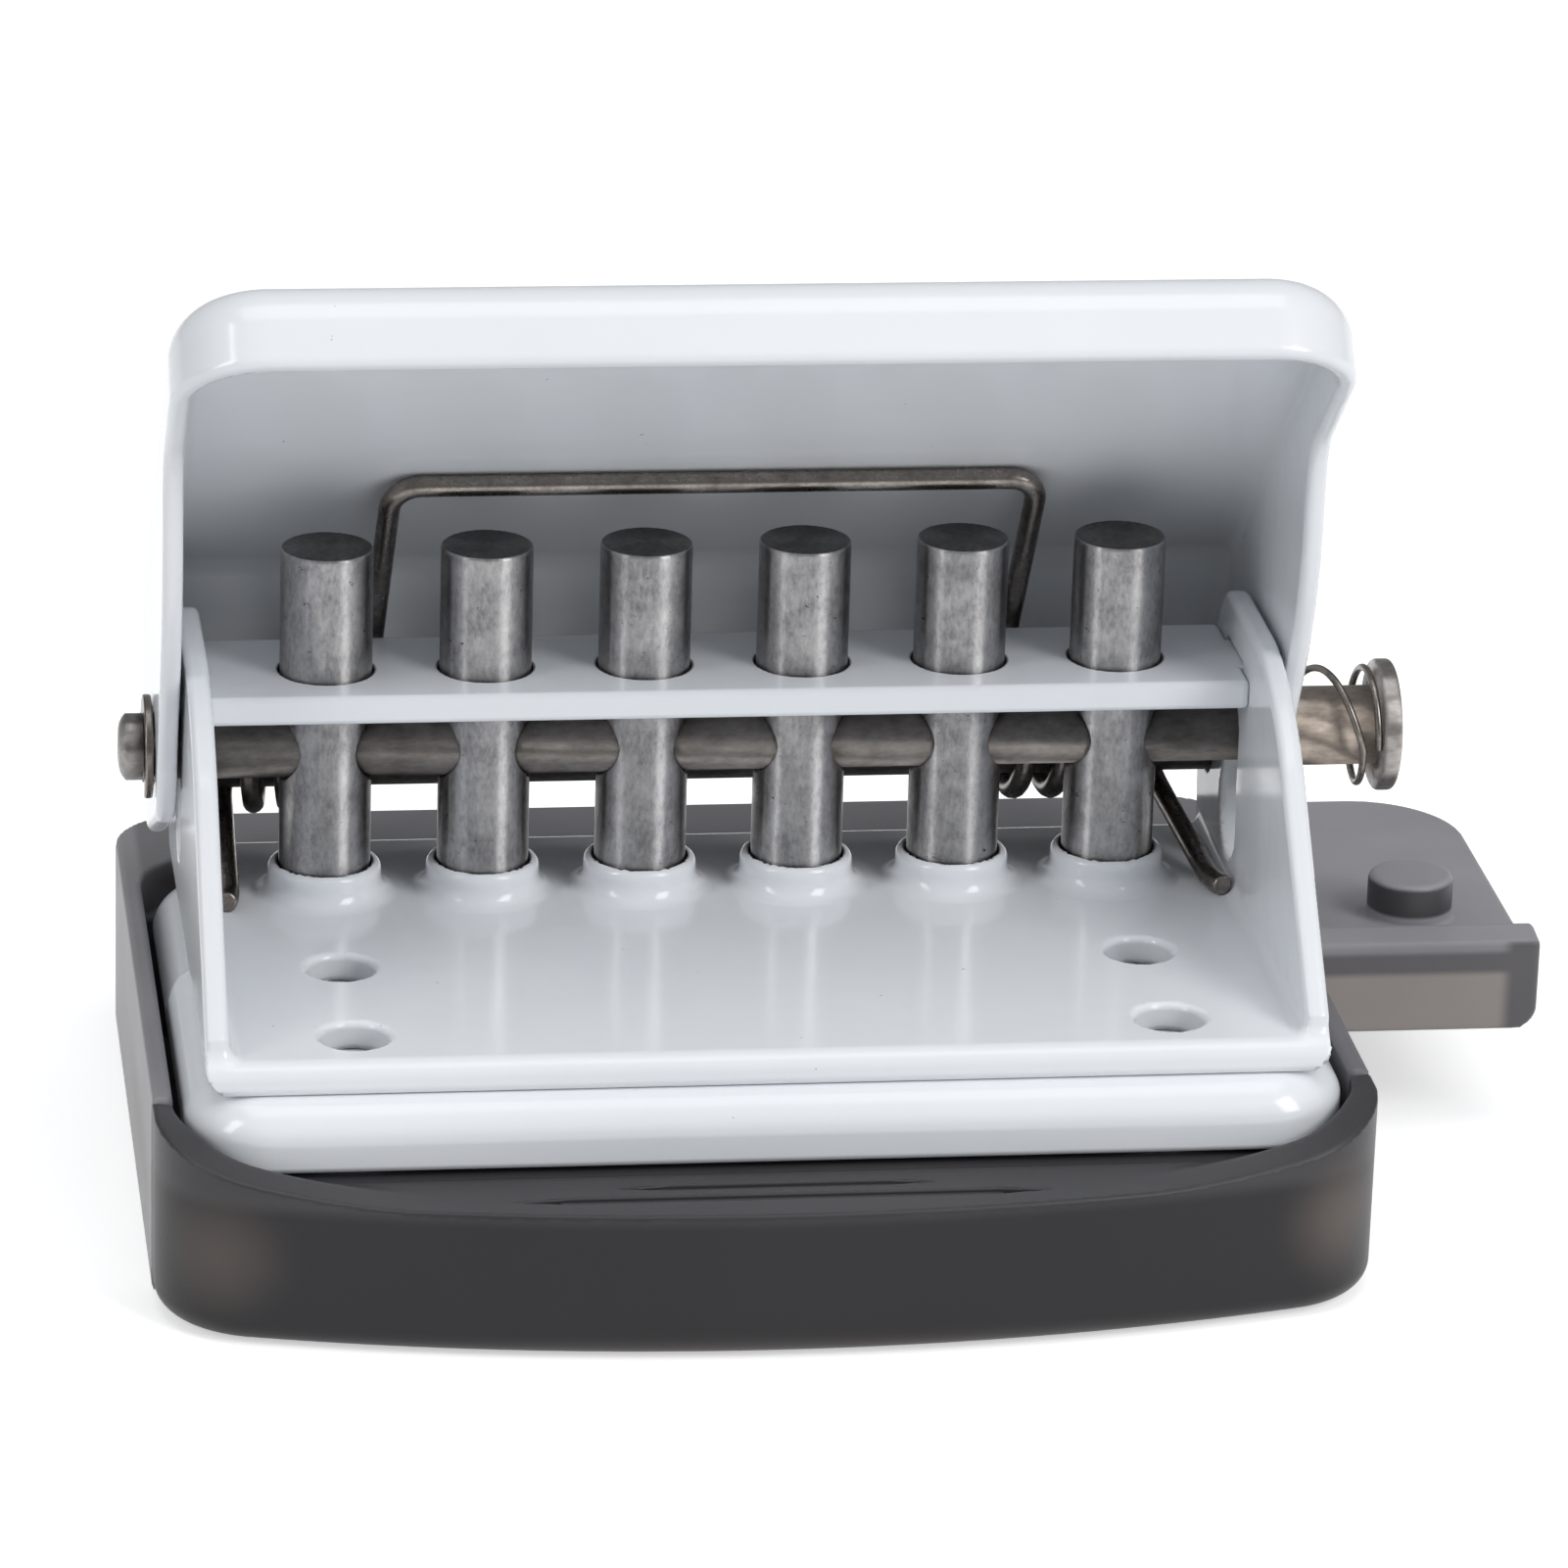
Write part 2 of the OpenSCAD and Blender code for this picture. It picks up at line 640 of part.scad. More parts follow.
// Drive shaft and lock: pushed in while the lever is down, its thick end enters the right cheek
shoulder_gap = 1.1;
shoulder_x = cheek_out + shoulder_gap;
groove_depth = 0.5;
groove_d = shaft_d - 2 * groove_depth;
groove_gap = 0.05;
clip_t = 0.5;
clip_x = [-lever_out - 0.1 - clip_t, -lever_out - 0.1];
shaft_tip = 1;
dome = 0.4;

module lock_shaft() color(steel) {
    groove = [clip_x[0] - groove_gap, clip_x[1] + groove_gap];
    tip = groove[0] - shaft_tip;
    head_out = head_in + head_t;
    cone_x(tip - dome, tip + eps, 0, shaft_z, shaft_d - 3 * dome, shaft_d);
    rod_x(tip, groove[0], 0, shaft_z, shaft_d);
    rod_x(groove[0] - eps, groove[1] + eps, 0, shaft_z, groove_d);
    rod_x(groove[1], shoulder_x, 0, shaft_z, shaft_d);
    rod_x(shoulder_x - eps, head_in + eps, 0, shaft_z, lock_d);
    rod_x(head_in, head_out - dome / 2, 0, shaft_z, head_d);
    cone_x(head_out - dome / 2 - eps, head_out, 0, shaft_z, head_d, head_d - dome);
}

// E-shaped clip in the shaft's groove
clip_d = 6.2;
clip_mouth = 2.6;
clip_lobe_d = 1.2;

module retaining_clip() color(steel) along_x(clip_x[0], clip_x[1]) translate(shaft_at) difference() {
    circle(d = clip_d);
    circle(d = groove_d + 2 * groove_gap);
    translate([-clip_mouth / 2, -clip_d]) square([clip_mouth, clip_d]);
    for (a = [30, 150]) rotate(a) translate([groove_d / 2 + play, 0]) circle(d = clip_lobe_d);
}

// Lock spring: it holds the drive shaft's head away from the lever
lock_coil_r = (lock_spring_d - lock_wire_d) / 2;
close_turns = 1;
wide_turns = 0.6;
close_pitch = lock_wire_d + 0.5;
lock_start = -30;
lock_from = lever_out + 0.1 + lock_wire_d / 2;
lock_to = head_in - 0.05 - lock_wire_d / 2;
wide_len = lock_to - lock_from - close_turns * close_pitch;
wide_pitch = wide_len / wide_turns;
lock_rings = 8;
lock_turns = close_turns + wide_turns;
lock_steps = ceil(lock_turns * lock_rings);

function lock_x(t) = lock_from + wide_pitch * min(t, wide_turns) + close_pitch * max(t - wide_turns, 0);

lock_path = [for (i = [0:lock_steps]) let (t = lock_turns * i / lock_steps, a = lock_start + 360 * t)
    [lock_x(t), lock_coil_r * cos(a), shaft_z + lock_coil_r * sin(a)]];

module lock_spring() color(wire_grey) wire(lock_path, lock_wire_d, [0, 1, 0]);

// Chip drawer: a bin under the dies behind a bow-fronted ledge
drawer_back = -seam_y - play;
drawer_skin = 1.8;
drawer_lift = play;
bin_half = screw_x - boss_d / 2 - 0.8;
bin_rear = pocket_rear - 0.9;
bin_z = [base_t + drawer_lift, die_bottom - rivet_tail - 0.3];
bow_r = 125;
bow_y = bow_r - base_front;
rim_run = 5;
rim_foot = -base_front - 0.1;
rim_y = [rim_foot + rim_run, rim_foot];
rim_x = [24, base_half];
rim_w = 2.6;
grip_depth = 0.4;

// The drawer's front in plan: a shallow bow that runs through round corners into straight sides
module drawer_outline(inset, back) {
    half = base_half - inset;
    bow = bow_r - inset;
    r = drawer_corner - inset;
    centre = [half - r, bow_y - sqrt(pow(bow - r, 2) - pow(half - r, 2))];
    turn = asin((half - r) / (bow - r));
    right = concat(
        [for (a = [0:2:turn - 1]) [0, bow_y] + bow * [sin(a), -cos(a)]],
        arc(centre, r, turn - 90, 0));
    polygon(concat(right, [[half, back], [-half, back]], flipped([for (i = [1:len(right) - 1]) right[i]])));
}

// Finger groove with pointed ends
module grip(x0, x1, y, w) {
    point = 4 * w;
    along_z(ledge_z - grip_depth, ledge_z + past) polygon([[x0, y], [x0 + point, y - w / 2],
        [x1 - point, y - w / 2], [x1, y], [x1 - point, y + w / 2], [x0 + point, y + w / 2]]);
}

// Space above the ledge, which is flat inside a rim that rises round the corners to the seam
module above_ledge() {
    high = table_z + past;
    along_z(ledge_z, high) drawer_outline(rim_w, drawer_back + past);
    rise = (table_z - ledge_z) / (rim_y[0] - rim_y[1]);
    along_x(-base_half - past, base_half + past) polygon([[rim_y[1], ledge_z],
        [rim_y[1] + past / rise + (table_z - ledge_z) / rise, high], [-far, high], [-far, ledge_z]]);
    steep = (table_z - ledge_z) / (rim_x[1] - rim_x[0]);
    along_y(-far, drawer_back + past) polygon([[-rim_x[0], ledge_z], [rim_x[0], ledge_z],
        [rim_x[0] + (high - ledge_z) / steep, high], [-rim_x[0] - (high - ledge_z) / steep, high]]);
}

module chip_drawer() color(smoke) {
    difference() {
        along_z(drawer_lift, table_z) drawer_outline(0, drawer_back);
        above_ledge();
        along_z(ledge_z, table_z + past) soft_rect([-pocket_half, -pan_front - pan_gap],
            [pocket_half, 0], skirt_corner + pan_gap, 0);
        along_z(drawer_lift + drawer_skin, ledge_z - drawer_skin)
            drawer_outline(drawer_skin, drawer_back + past);
        grip(-15.2, 15, -33.6, 0.7);
        grip(-9, 8.4, -32, 0.6);
    }
    difference() {
        block([-bin_half, drawer_back - base_t, bin_z[0]], [bin_half, bin_rear, bin_z[1]]);
        block([-bin_half + base_t, drawer_back - 2 * base_t, bin_z[0] + base_t],
            [bin_half - base_t, bin_rear - base_t, bin_z[1] + past]);
    }
}

// Paper index: a hollow head with the nub, and a tongue that slides in the base
index_wall = 1.4;
index_front = -nub_d / 2 - 2.9;
index_rear = base_rear - 1.6;
index_corner = 6.5;
index_lip_over = 0.5;
index_lip_out = 0.8;
index_lip_w = 2.6;
index_lip_r = [1.5, 0.5];
nub_x = last_punch + nub_steps * pitch;
index_right = nub_x + index_end;
index_left = base_half + 0.3;
index_bottom = table_z + index_lip_over - index_lip_h;
tongue_left = 4;

module index_plan(inset) {
    side = index_right - index_lip_out - inset;
    front = index_front + inset;
    rear = index_rear - inset;
    intersection() {
        soft_rect([index_left - index_corner, front], [side, rear], 0, index_corner - inset);
        translate([index_left + inset, front]) square([side - index_left - inset, rear - front]);
    }
}

// The lip at the front of the index, seen from the front, with its lower and upper corner radii
module index_lip() {
    soft_rect([index_left, index_bottom], [index_right, table_z + index_lip_over],
        index_lip_r[0], index_lip_r[1]);
}

module paper_guide() color(smoke) {
    difference() {
        along_z(index_bottom, table_z) index_plan(0);
        along_z(index_bottom - past, table_z - index_wall) index_plan(index_wall);
    }
    along_y(index_front, index_front + index_wall) index_lip();
    along_y(index_front, index_front + index_lip_w) intersection() {
        index_lip();
        translate([index_left, table_z - index_wall]) square([index_right, index_lip_h]);
    }
    post(nub_x, 0, table_z - eps, table_z + nub_h, nub_d);
    block([tongue_left, tongue_y[0], tongue_z[0]], [index_left + eps, tongue_y[1], tongue_z[1]]);
}

echo("least gap of the return spring to itself", least_gap(return_path, wire_d, 5));
echo("least gap of the lock spring to itself", least_gap(lock_path, lock_wire_d, 5));
echo("lever swing in degrees", lever_swing);

body_frame();
guide_plate();
base_pan();
die_plate();
die_rivets();
base_shell();
base_screws();
fulcrum_rod();
return_spring();
lever();
punch_1();
punch_2();
punch_3();
punch_4();
punch_5();
punch_6();
lock_shaft();
retaining_clip();
lock_spring();
chip_drawer();
paper_guide();
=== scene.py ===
"""Looks of a six-hole loose-leaf paper punch: enamelled pressings, steel punches and smoke-coloured plastic.

The shapes are written in millimetres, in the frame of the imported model, and become metres in their meshes.
Most of them are distance fields: a function that gives the distance to a surface, negative inside.
"""
import math

import bpy
import numpy as np
from mathutils import Matrix, Vector


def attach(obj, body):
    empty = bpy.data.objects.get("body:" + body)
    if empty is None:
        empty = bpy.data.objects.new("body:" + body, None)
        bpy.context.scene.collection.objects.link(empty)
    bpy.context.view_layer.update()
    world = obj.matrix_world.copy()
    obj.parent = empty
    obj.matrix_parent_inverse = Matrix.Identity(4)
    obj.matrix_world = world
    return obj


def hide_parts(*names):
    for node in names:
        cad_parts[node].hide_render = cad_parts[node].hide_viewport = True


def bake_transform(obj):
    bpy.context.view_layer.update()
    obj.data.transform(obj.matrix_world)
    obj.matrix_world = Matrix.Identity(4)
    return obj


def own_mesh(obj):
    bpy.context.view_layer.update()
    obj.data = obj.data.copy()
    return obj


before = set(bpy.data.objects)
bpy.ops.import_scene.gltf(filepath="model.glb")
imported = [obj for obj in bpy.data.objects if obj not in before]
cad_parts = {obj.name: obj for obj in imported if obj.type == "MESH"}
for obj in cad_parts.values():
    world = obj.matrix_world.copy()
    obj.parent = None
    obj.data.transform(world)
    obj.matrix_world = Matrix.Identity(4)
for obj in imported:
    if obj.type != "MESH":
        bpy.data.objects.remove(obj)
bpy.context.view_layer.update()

MM = 0.001

# Punch row
PITCH = 9.5
PUNCH_D = 5.5
PUNCH_COUNT = 6
PUNCH_FIT = 0.04
PUNCH_BOTTOM = 13.8
PUNCH_TOP = 36.8
STROKE = 5.0

# Frame and guide plate
CHEEK_IN = 31.1
CHEEK_OUT = 32.5
FLOOR_Z = 15.0
SLOT_TOP = 13.2
FLOOR_FRONT = -27.5
FLOOR_REAR = 8.5
FLOOR_EDGE = 1.3
CHEEK_H = 17.0
CHEEK_SLOPE = 46.0
CHEEK_LAND = 3.9
COLLAR_D = 6.8
COLLAR_H = 2.0
FIX_HOLE_D = 4.0
FIX_HOLE_X = 23.7
FIX_HOLE_Y = (-22.85, -12.35)
GUIDE_Y = (-5.0, 5.6)
GUIDE_Z = (27.3, 29.1)
TAB_Y = (-2.4, 2.6)
TAB_FIT = 0.06

# Shafts, with the play of their holes across the whole hole
SHAFT_AT = np.array([0.0, 24.4])
ROD_AT = np.array([7.5, 21.0])
SHAFT_D = 4.0
LOCK_D = 4.8
HEAD_D = 8.0
ROD_D = 4.0
SHAFT_PLAY = 0.16
LOCK_PLAY = 0.32
LEVER_PLAY = 0.3
ROD_PLAY = 0.04
CLIP_X = (-34.6, -34.1)
CLIP_R = 3.1

# Lever
LEVER_OUT = 34.0
LEVER_T = 1.2
LEVER_LEN = 43.4
LEVER_ANGLE = 41.5
LEVER_OFF = 11.0
LIP_H = 5.8
LEVER_CORNER = 5.5
LEVER_EDGE = 3.0
LEVER_INNER_EDGE = 1.1

# Pan, table and plastic base
TABLE_Z = 12.0
PAN_HALF = 33.6
PAN_T = 1.4
PAN_FRONT = -29.5
PAN_REAR = 12.8
PAN_CORNER = 5.0
PAN_EDGE = 2.6
SKIRT_Z = 9.2
PAPER_STOP = -6.2
DIE_WINDOW_X = 27.9
DIE_WINDOW_Y = 4.6
RIVET_X = 29.5
RIVET_D = 2.8
BASE_HALF = 35.4
BASE_CORNER = 5.0
BASE_T = 1.2
BASE_REAR = 21.4
POCKET_HALF = 34.2
POCKET_REAR = 14.2
POCKET_CORNER = 5.2
SCREW_X = 28.8
SCREW_Y = (-20.6, -10.8)
SCREW_HOLE_D = 2.2
SCREW_HEAD_D = 4.4
SCREW_HEAD_Z = 2.4
POST_D = 6.0
SEAT_X = 31.2
TONGUE_Y = (16.3, 19.4)
TONGUE_Z = (7.1, 10.4)
MOUTH_Z = (6.9, 10.6)
TONGUE_FIT = 0.2
OVERLAP = 0.3
SEAM_Y = -24.4
LEDGE_Z = 9.0


# Distances: general shapes and how they are joined
def hypot(*parts):
    return np.sqrt(sum(p * p for p in parts))


def meet(r, *parts):
    """What lies in all the parts, with its outer edges rounded to r."""
    shifted = [p + r for p in parts]
    deepest = shifted[0]
    for p in shifted[1:]:
        deepest = np.maximum(deepest, p)
    return np.minimum(deepest, 0) + hypot(*[np.maximum(p, 0) for p in shifted]) - r


def join(r, *parts):
    """What lies in any of the parts, with a fillet of r in the corners between them."""
    return -meet(r, *[-p for p in parts])


def cut(r, body, *tools):
    """The body without the tools, with the rims rounded to r."""
    for tool in tools:
        body = meet(r, body, -tool)
    return body


def between(v, lo, hi):
    return np.maximum(lo - v, v - hi)


def box(r, *spans):
    """A box with edges of radius r; each span is (coordinate, lowest, highest)."""
    return meet(r, *[between(v, lo, hi) for v, lo, hi in spans])


def disc(u, v, at, d):
    return hypot(u - at[0], v - at[1]) - d / 2


def long_hole(u, v, a, b, d):
    """A slot with round ends between the points a and b."""
    along = np.subtract(b, a)
    t = np.clip(((u - a[0]) * along[0] + (v - a[1]) * along[1]) / (along @ along), 0, 1)
    return hypot(u - a[0] - t * along[0], v - a[1] - t * along[1]) - d / 2


def outline(u, v, points):
    """Distance to the closed line through the points."""
    nearest = np.full(np.broadcast(u, v).shape, np.inf)
    inside = np.zeros(nearest.shape, bool)
    for (au, av), (bu, bv) in zip(points, [*points[1:], points[0]]):
        eu, ev = bu - au, bv - av
        if abs(eu) + abs(ev) < 1e-6:
            continue
        t = np.clip(((u - au) * eu + (v - av) * ev) / (eu * eu + ev * ev), 0, 1)
        nearest = np.minimum(nearest, (u - au - t * eu) ** 2 + (v - av - t * ev) ** 2)
        crossed = (av > v) != (bv > v)
        inside ^= crossed & (u < au + (v - av) * eu / (ev or 1))
    return np.where(inside, -1, 1) * np.sqrt(nearest)


def arc(centre, r, start, end, steps=24):
    angles = np.radians(np.linspace(start, end, steps + 1))
    return [(centre[0] + r * math.cos(a), centre[1] + r * math.sin(a)) for a in angles]


def bezier(a, b, c, d, steps=16):
    a, b, c, d = (np.array(p, float) for p in (a, b, c, d))
    return [tuple((1 - t) ** 3 * a + 3 * (1 - t) ** 2 * t * b + 3 * (1 - t) * t * t * c + t ** 3 * d)
            for t in np.linspace(0, 1, steps + 1)]


def at_punch(x):
    """The distance along the row from the nearest punch's axis."""
    last = PUNCH_COUNT // 2
    return x - PITCH * (np.clip(np.floor(x / PITCH), -last, last - 1) + 0.5)


# From a distance field to a mesh
GRADIENT_STEP = 0.04


def gradient(field, p):
    parts = []
    for k in range(3):
        shift = np.zeros(3)
        shift[k] = GRADIENT_STEP
        ahead, behind = p + shift, p - shift
        parts.append((field(*ahead.T) - field(*behind.T)) / (2 * GRADIENT_STEP))
    return np.stack(parts, axis=1)


def pull_to_surface(field, p, rounds=3):
    for _ in range(rounds):
        g = gradient(field, p)
        size = np.maximum((g * g).sum(axis=1), 0.25)
        p = p - g * (field(*p.T) / size)[:, None]
    return p


def cell_net(field, lo, hi, step):
    """Vertices and quads of the surface, one vertex in each cell that the surface crosses."""
    axes = [np.arange(lo[k] - 2 * step, hi[k] + 3 * step, step) for k in range(3)]
    grid = np.ix_(*axes)
    values = np.broadcast_to(field(*grid), [len(a) for a in axes]).astype(np.float32)
    inside = values < 0
    cells = np.array(values.shape) - 1
    spread = np.array([cells[1] * cells[2], cells[2], 1])
    owners, places, quads = [], [], []
    for k in range(3):
        ahead = [slice(None)] * 3
        behind = [slice(None)] * 3
        ahead[k], behind[k] = slice(1, None), slice(None, -1)
        crossing = np.argwhere(inside[tuple(ahead)] != inside[tuple(behind)])
        near = values[tuple(crossing.T)]
        beyond = crossing.copy()
        beyond[:, k] += 1
        far = values[tuple(beyond.T)]
        place = crossing.astype(float)
        place[:, k] += near / (near - far)
        i, j = (k + 1) % 3, (k + 2) % 3
        corner_ids = []
        for di, dj in ((0, 0), (1, 0), (1, 1), (0, 1)):
            cell = crossing.copy()
            cell[:, i] -= di
            cell[:, j] -= dj
            owner = cell @ spread
            owners.append(owner)
            places.append(place)
            corner_ids.append(owner)
        quad = np.stack(corner_ids, axis=1)
        flip = near < 0
        quad[flip] = quad[flip][:, ::-1]
        quads.append(quad)
    owners = np.concatenate(owners)
    places = np.concatenate(places)
    used, index, count = np.unique(owners, return_inverse=True, return_counts=True)
    middle = np.stack([np.bincount(index, places[:, k]) for k in range(3)], axis=1) / count[:, None]
    origin = np.array([a[0] for a in axes])
    faces = np.searchsorted(used, np.concatenate(quads))
    return origin + middle * step, faces[:, ::-1]


def mesh_from(name, points, faces):
    mesh = bpy.data.meshes.new(name)
    mesh.from_pydata((np.asarray(points) * MM).tolist(), [], [tuple(face) for face in faces])
    mesh.polygons.foreach_set("use_smooth", [True] * len(mesh.polygons))
    mesh.update()
    return mesh


def thinned(mesh, keep):
    """The mesh with the given share of its triangles, fewest where it is flat."""
    scratch = bpy.data.objects.new("scratch", mesh)
    bpy.context.scene.collection.objects.link(scratch)
    decimate = scratch.modifiers.new("thin", "DECIMATE")
    decimate.ratio = keep
    bpy.context.view_layer.update()
    graph = bpy.context.evaluated_depsgraph_get()
    lean = bpy.data.meshes.new_from_object(scratch.evaluated_get(graph))
    bpy.data.objects.remove(scratch)
    bpy.data.meshes.remove(mesh)
    return lean


def skin(name, field, lo, hi, step=0.3, keep=0.25):
    """A smooth closed mesh of a distance field between two corners."""
    points, faces = cell_net(field, lo, hi, step)
    points = pull_to_surface(field, points)
    mesh = thinned(mesh_from(name, points, faces), keep)
    points = np.empty(len(mesh.vertices) * 3)
    mesh.vertices.foreach_get("co", points)
    points = pull_to_surface(field, points.reshape(-1, 3) / MM, rounds=2)
    mesh.vertices.foreach_set("co", (points * MM).ravel())
    normals = gradient(field, points)
    normals /= np.linalg.norm(normals, axis=1)[:, None]
    mesh.polygons.foreach_set("use_smooth", [True] * len(mesh.polygons))
    mesh.update()
    mesh.normals_split_custom_set_from_vertices(normals.tolist())
    mesh.name = name
    return placed(name, mesh)


def placed(name, mesh):
    piece = bpy.data.objects.new(name, mesh)
    bpy.context.scene.collection.objects.link(piece)
    return piece


def stand_in(piece, node, body, material):
    """Puts a finished piece in a node's place."""
    piece.data.materials.clear()
    piece.data.materials.append(material)
    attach(piece, body)
    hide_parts(node)


# Turned and drawn pieces
def ring_faces(rings, sides):
    """The quads between rings of points that follow each other, and then the two end caps."""
    faces = []
    for k in range(rings - 1):
        for i in range(sides):
            j = (i + 1) % sides
            faces.append((k * sides + i, k * sides + j, (k + 1) * sides + j, (k + 1) * sides + i))
    faces.append(tuple(range(sides))[::-1])
    faces.append(tuple((rings - 1) * sides + i for i in range(sides)))
    return faces


def turned(name, profile, at, sides=64):
    """A piece turned about a line along X; the profile is a list of (x, radius) from end to end."""
    angles = np.linspace(0, 2 * math.pi, sides, endpoint=False)
    ring = np.stack([np.cos(angles), np.sin(angles)], axis=1)
    points = []
    for x, r in profile:
        points += [(x, at[0] + r * c, at[1] + r * s) for c, s in ring]
    return placed(name, mesh_from(name, points, ring_faces(len(profile), sides)))


def rounded_step(x, r_from, r_to, bevel, steps=4):
    """Profile points of a face at x between two radii, its outer edge rounded towards the thicker side."""
    outward = r_to > r_from
    r_big = max(r_from, r_to)
    side = 1 if outward else -1
    curve = [(x + side * bevel * (1 - math.sin(a)), r_big - bevel * (1 - math.cos(a)))
             for a in np.linspace(math.pi / 2, 0, steps + 1)]
    return [(x, r_from)] + curve if outward else curve[::-1] + [(x, r_to)]


def tube(name, path, d, sides):
    """A round wire along a line of points, with a slightly domed far end and flat caps."""
    path = np.asarray(path, float)
    heading = np.gradient(path, axis=0)
    heading /= np.linalg.norm(heading, axis=1)[:, None]
    dome = 0.12 * d
    first_ring = 0.01
    path = np.concatenate([path[:1], [path[0] + first_ring * heading[0]], path[1:],
                           [path[-1] + heading[-1] * dome * s for s in (0.6, 1)]])
    heading = np.concatenate([heading[:1], heading, [heading[-1]] * 2])
    radius = np.full(len(path), d / 2)
    radius[-2:] = 0.44 * d, 0.3 * d
    not_along = [0.3, 0.5, 0.8]
    normal = np.cross(heading[0], not_along)
    angles = np.linspace(0, 2 * math.pi, sides, endpoint=False)
    points = []
    for p, t, r in zip(path, heading, radius):
        normal = normal - t * (normal @ t)
        normal /= np.linalg.norm(normal)
        side = np.cross(t, normal)
        points += [p + r * (math.cos(a) * normal + math.sin(a) * side) for a in angles]
    mesh = mesh_from(name, points, ring_faces(len(path), sides))
    for cap in mesh.polygons[-2:]:
        cap.use_smooth = False
    return placed(name, mesh)


# Materials
def new_material(name):
    material = bpy.data.materials.new(name)
    material.use_nodes = True
    tree = material.node_tree
    shader = tree.nodes["Principled BSDF"]
    return material, tree, shader


def node(tree, kind, **values):
    made = tree.nodes.new(kind)
    for key, value in values.items():
        if key in made.inputs:
            made.inputs[key].default_value = value
        else:
            setattr(made, key, value)
    return made


def noise(tree, coordinates, scale, detail=3.0, roughness=0.5):
    made = node(tree, "ShaderNodeTexNoise", Scale=scale, Detail=detail, Roughness=roughness)
    tree.links.new(coordinates, made.inputs["Vector"])
    return made.outputs["Fac"]


def stretched(tree, coordinates, scale):
    made = node(tree, "ShaderNodeMapping", Scale=scale)
    tree.links.new(coordinates, made.inputs["Vector"])
    return made.outputs["Vector"]


def ramp(tree, value, stops):
    """Colours along a value; stops are (position, colour)."""
    made = tree.nodes.new("ShaderNodeValToRGB")
    elements = made.color_ramp.elements
    while len(elements) < len(stops):
        elements.new(0.5)
    for element, (position, colour) in zip(elements, stops):
        element.position = position
        element.color = (*colour, 1)
    tree.links.new(value, made.inputs["Fac"])
    return made.outputs["Color"]


def grey(v):
    return (v, v, v)


def mixed(tree, share, a, b, how="MIX"):
    made = tree.nodes.new("ShaderNodeMix")
    made.data_type = "RGBA"
    made.blend_type = how
    for socket, value in ((made.inputs[0], share), (made.inputs[6], a), (made.inputs[7], b)):
        if isinstance(value, bpy.types.NodeSocket):
            tree.links.new(value, socket)
        else:
            socket.default_value = value if isinstance(value, float) else (*value, 1)
    return made.outputs[2]


def bump(tree, height, distance, strength, onto):
    made = node(tree, "ShaderNodeBump", Distance=distance, Strength=strength)
    tree.links.new(height, made.inputs["Height"])
    tree.links.new(made.outputs["Normal"], onto.inputs["Normal"])


def place_mm(tree):
    """Positions in the part's frame, in millimetres."""
    scaled = node(tree, "ShaderNodeVectorMath", operation="SCALE", Scale=1000.0)
    tree.links.new(tree.nodes.new("ShaderNodeTexCoord").outputs["Object"], scaled.inputs[0])
    return scaled.outputs["Vector"]


def fade(tree, value, start, end):
    """0 up to the start, 1 from the end on, and smooth between them."""
    made = node(tree, "ShaderNodeMapRange", interpolation_type="SMOOTHSTEP")
    made.inputs["From Min"].default_value = start
    made.inputs["From Max"].default_value = end
    tree.links.new(value, made.inputs["Value"])
    return made.outputs["Result"]


def along(tree, place, axis):
    """One coordinate of a position."""
    split = tree.nodes.new("ShaderNodeSeparateXYZ")
    tree.links.new(place, split.inputs[0])
    return split.outputs[axis]


def both(tree, a, b):
    """The product of two shares."""
    made = node(tree, "ShaderNodeMath", operation="MULTIPLY")
    tree.links.new(a, made.inputs[0])
    tree.links.new(b, made.inputs[1])
    return made.outputs[0]


def bore_gap_shade(tree, place):
    """Painted shade in the gap round each punch: 1 within a hair of a punch, below the hood, and 0
    elsewhere.
    """
    wrapped = node(tree, "ShaderNodeMath", operation="WRAP")
    tree.links.new(along(tree, place, "X"), wrapped.inputs[0])
    wrapped.inputs[1].default_value = PITCH
    wrapped.inputs[2].default_value = 0.0
    centred = node(tree, "ShaderNodeMath", operation="SUBTRACT")
    tree.links.new(wrapped.outputs[0], centred.inputs[0])
    centred.inputs[1].default_value = PITCH / 2
    across = tree.nodes.new("ShaderNodeCombineXYZ")
    tree.links.new(centred.outputs[0], across.inputs["X"])
    tree.links.new(along(tree, place, "Y"), across.inputs["Y"])
    length = node(tree, "ShaderNodeVectorMath", operation="LENGTH")
    tree.links.new(across.outputs[0], length.inputs[0])
    edge = fade(tree, length.outputs["Value"], PUNCH_D / 2 + 0.3, PUNCH_D / 2 + 0.12)
    row_end = PITCH * PUNCH_COUNT / 2
    hood_z = 31.0
    limits = (("Z", hood_z, hood_z - 1), ("X", row_end, row_end - 1), ("X", -row_end, 1 - row_end))
    for axis, start, end in limits:
        edge = both(tree, edge, fade(tree, along(tree, place, axis), start, end))
    return edge


def near(tree, place, centre, reach):
    """1 at the centre, and 0 outside an ellipsoid with the given half axes."""
    moved = node(tree, "ShaderNodeMapping", vector_type="TEXTURE", Location=centre, Scale=reach)
    tree.links.new(place, moved.inputs["Vector"])
    length = node(tree, "ShaderNodeVectorMath", operation="LENGTH")
    tree.links.new(moved.outputs["Vector"], length.inputs[0])
    return fade(tree, length.outputs["Value"], 1.0, 0.0)


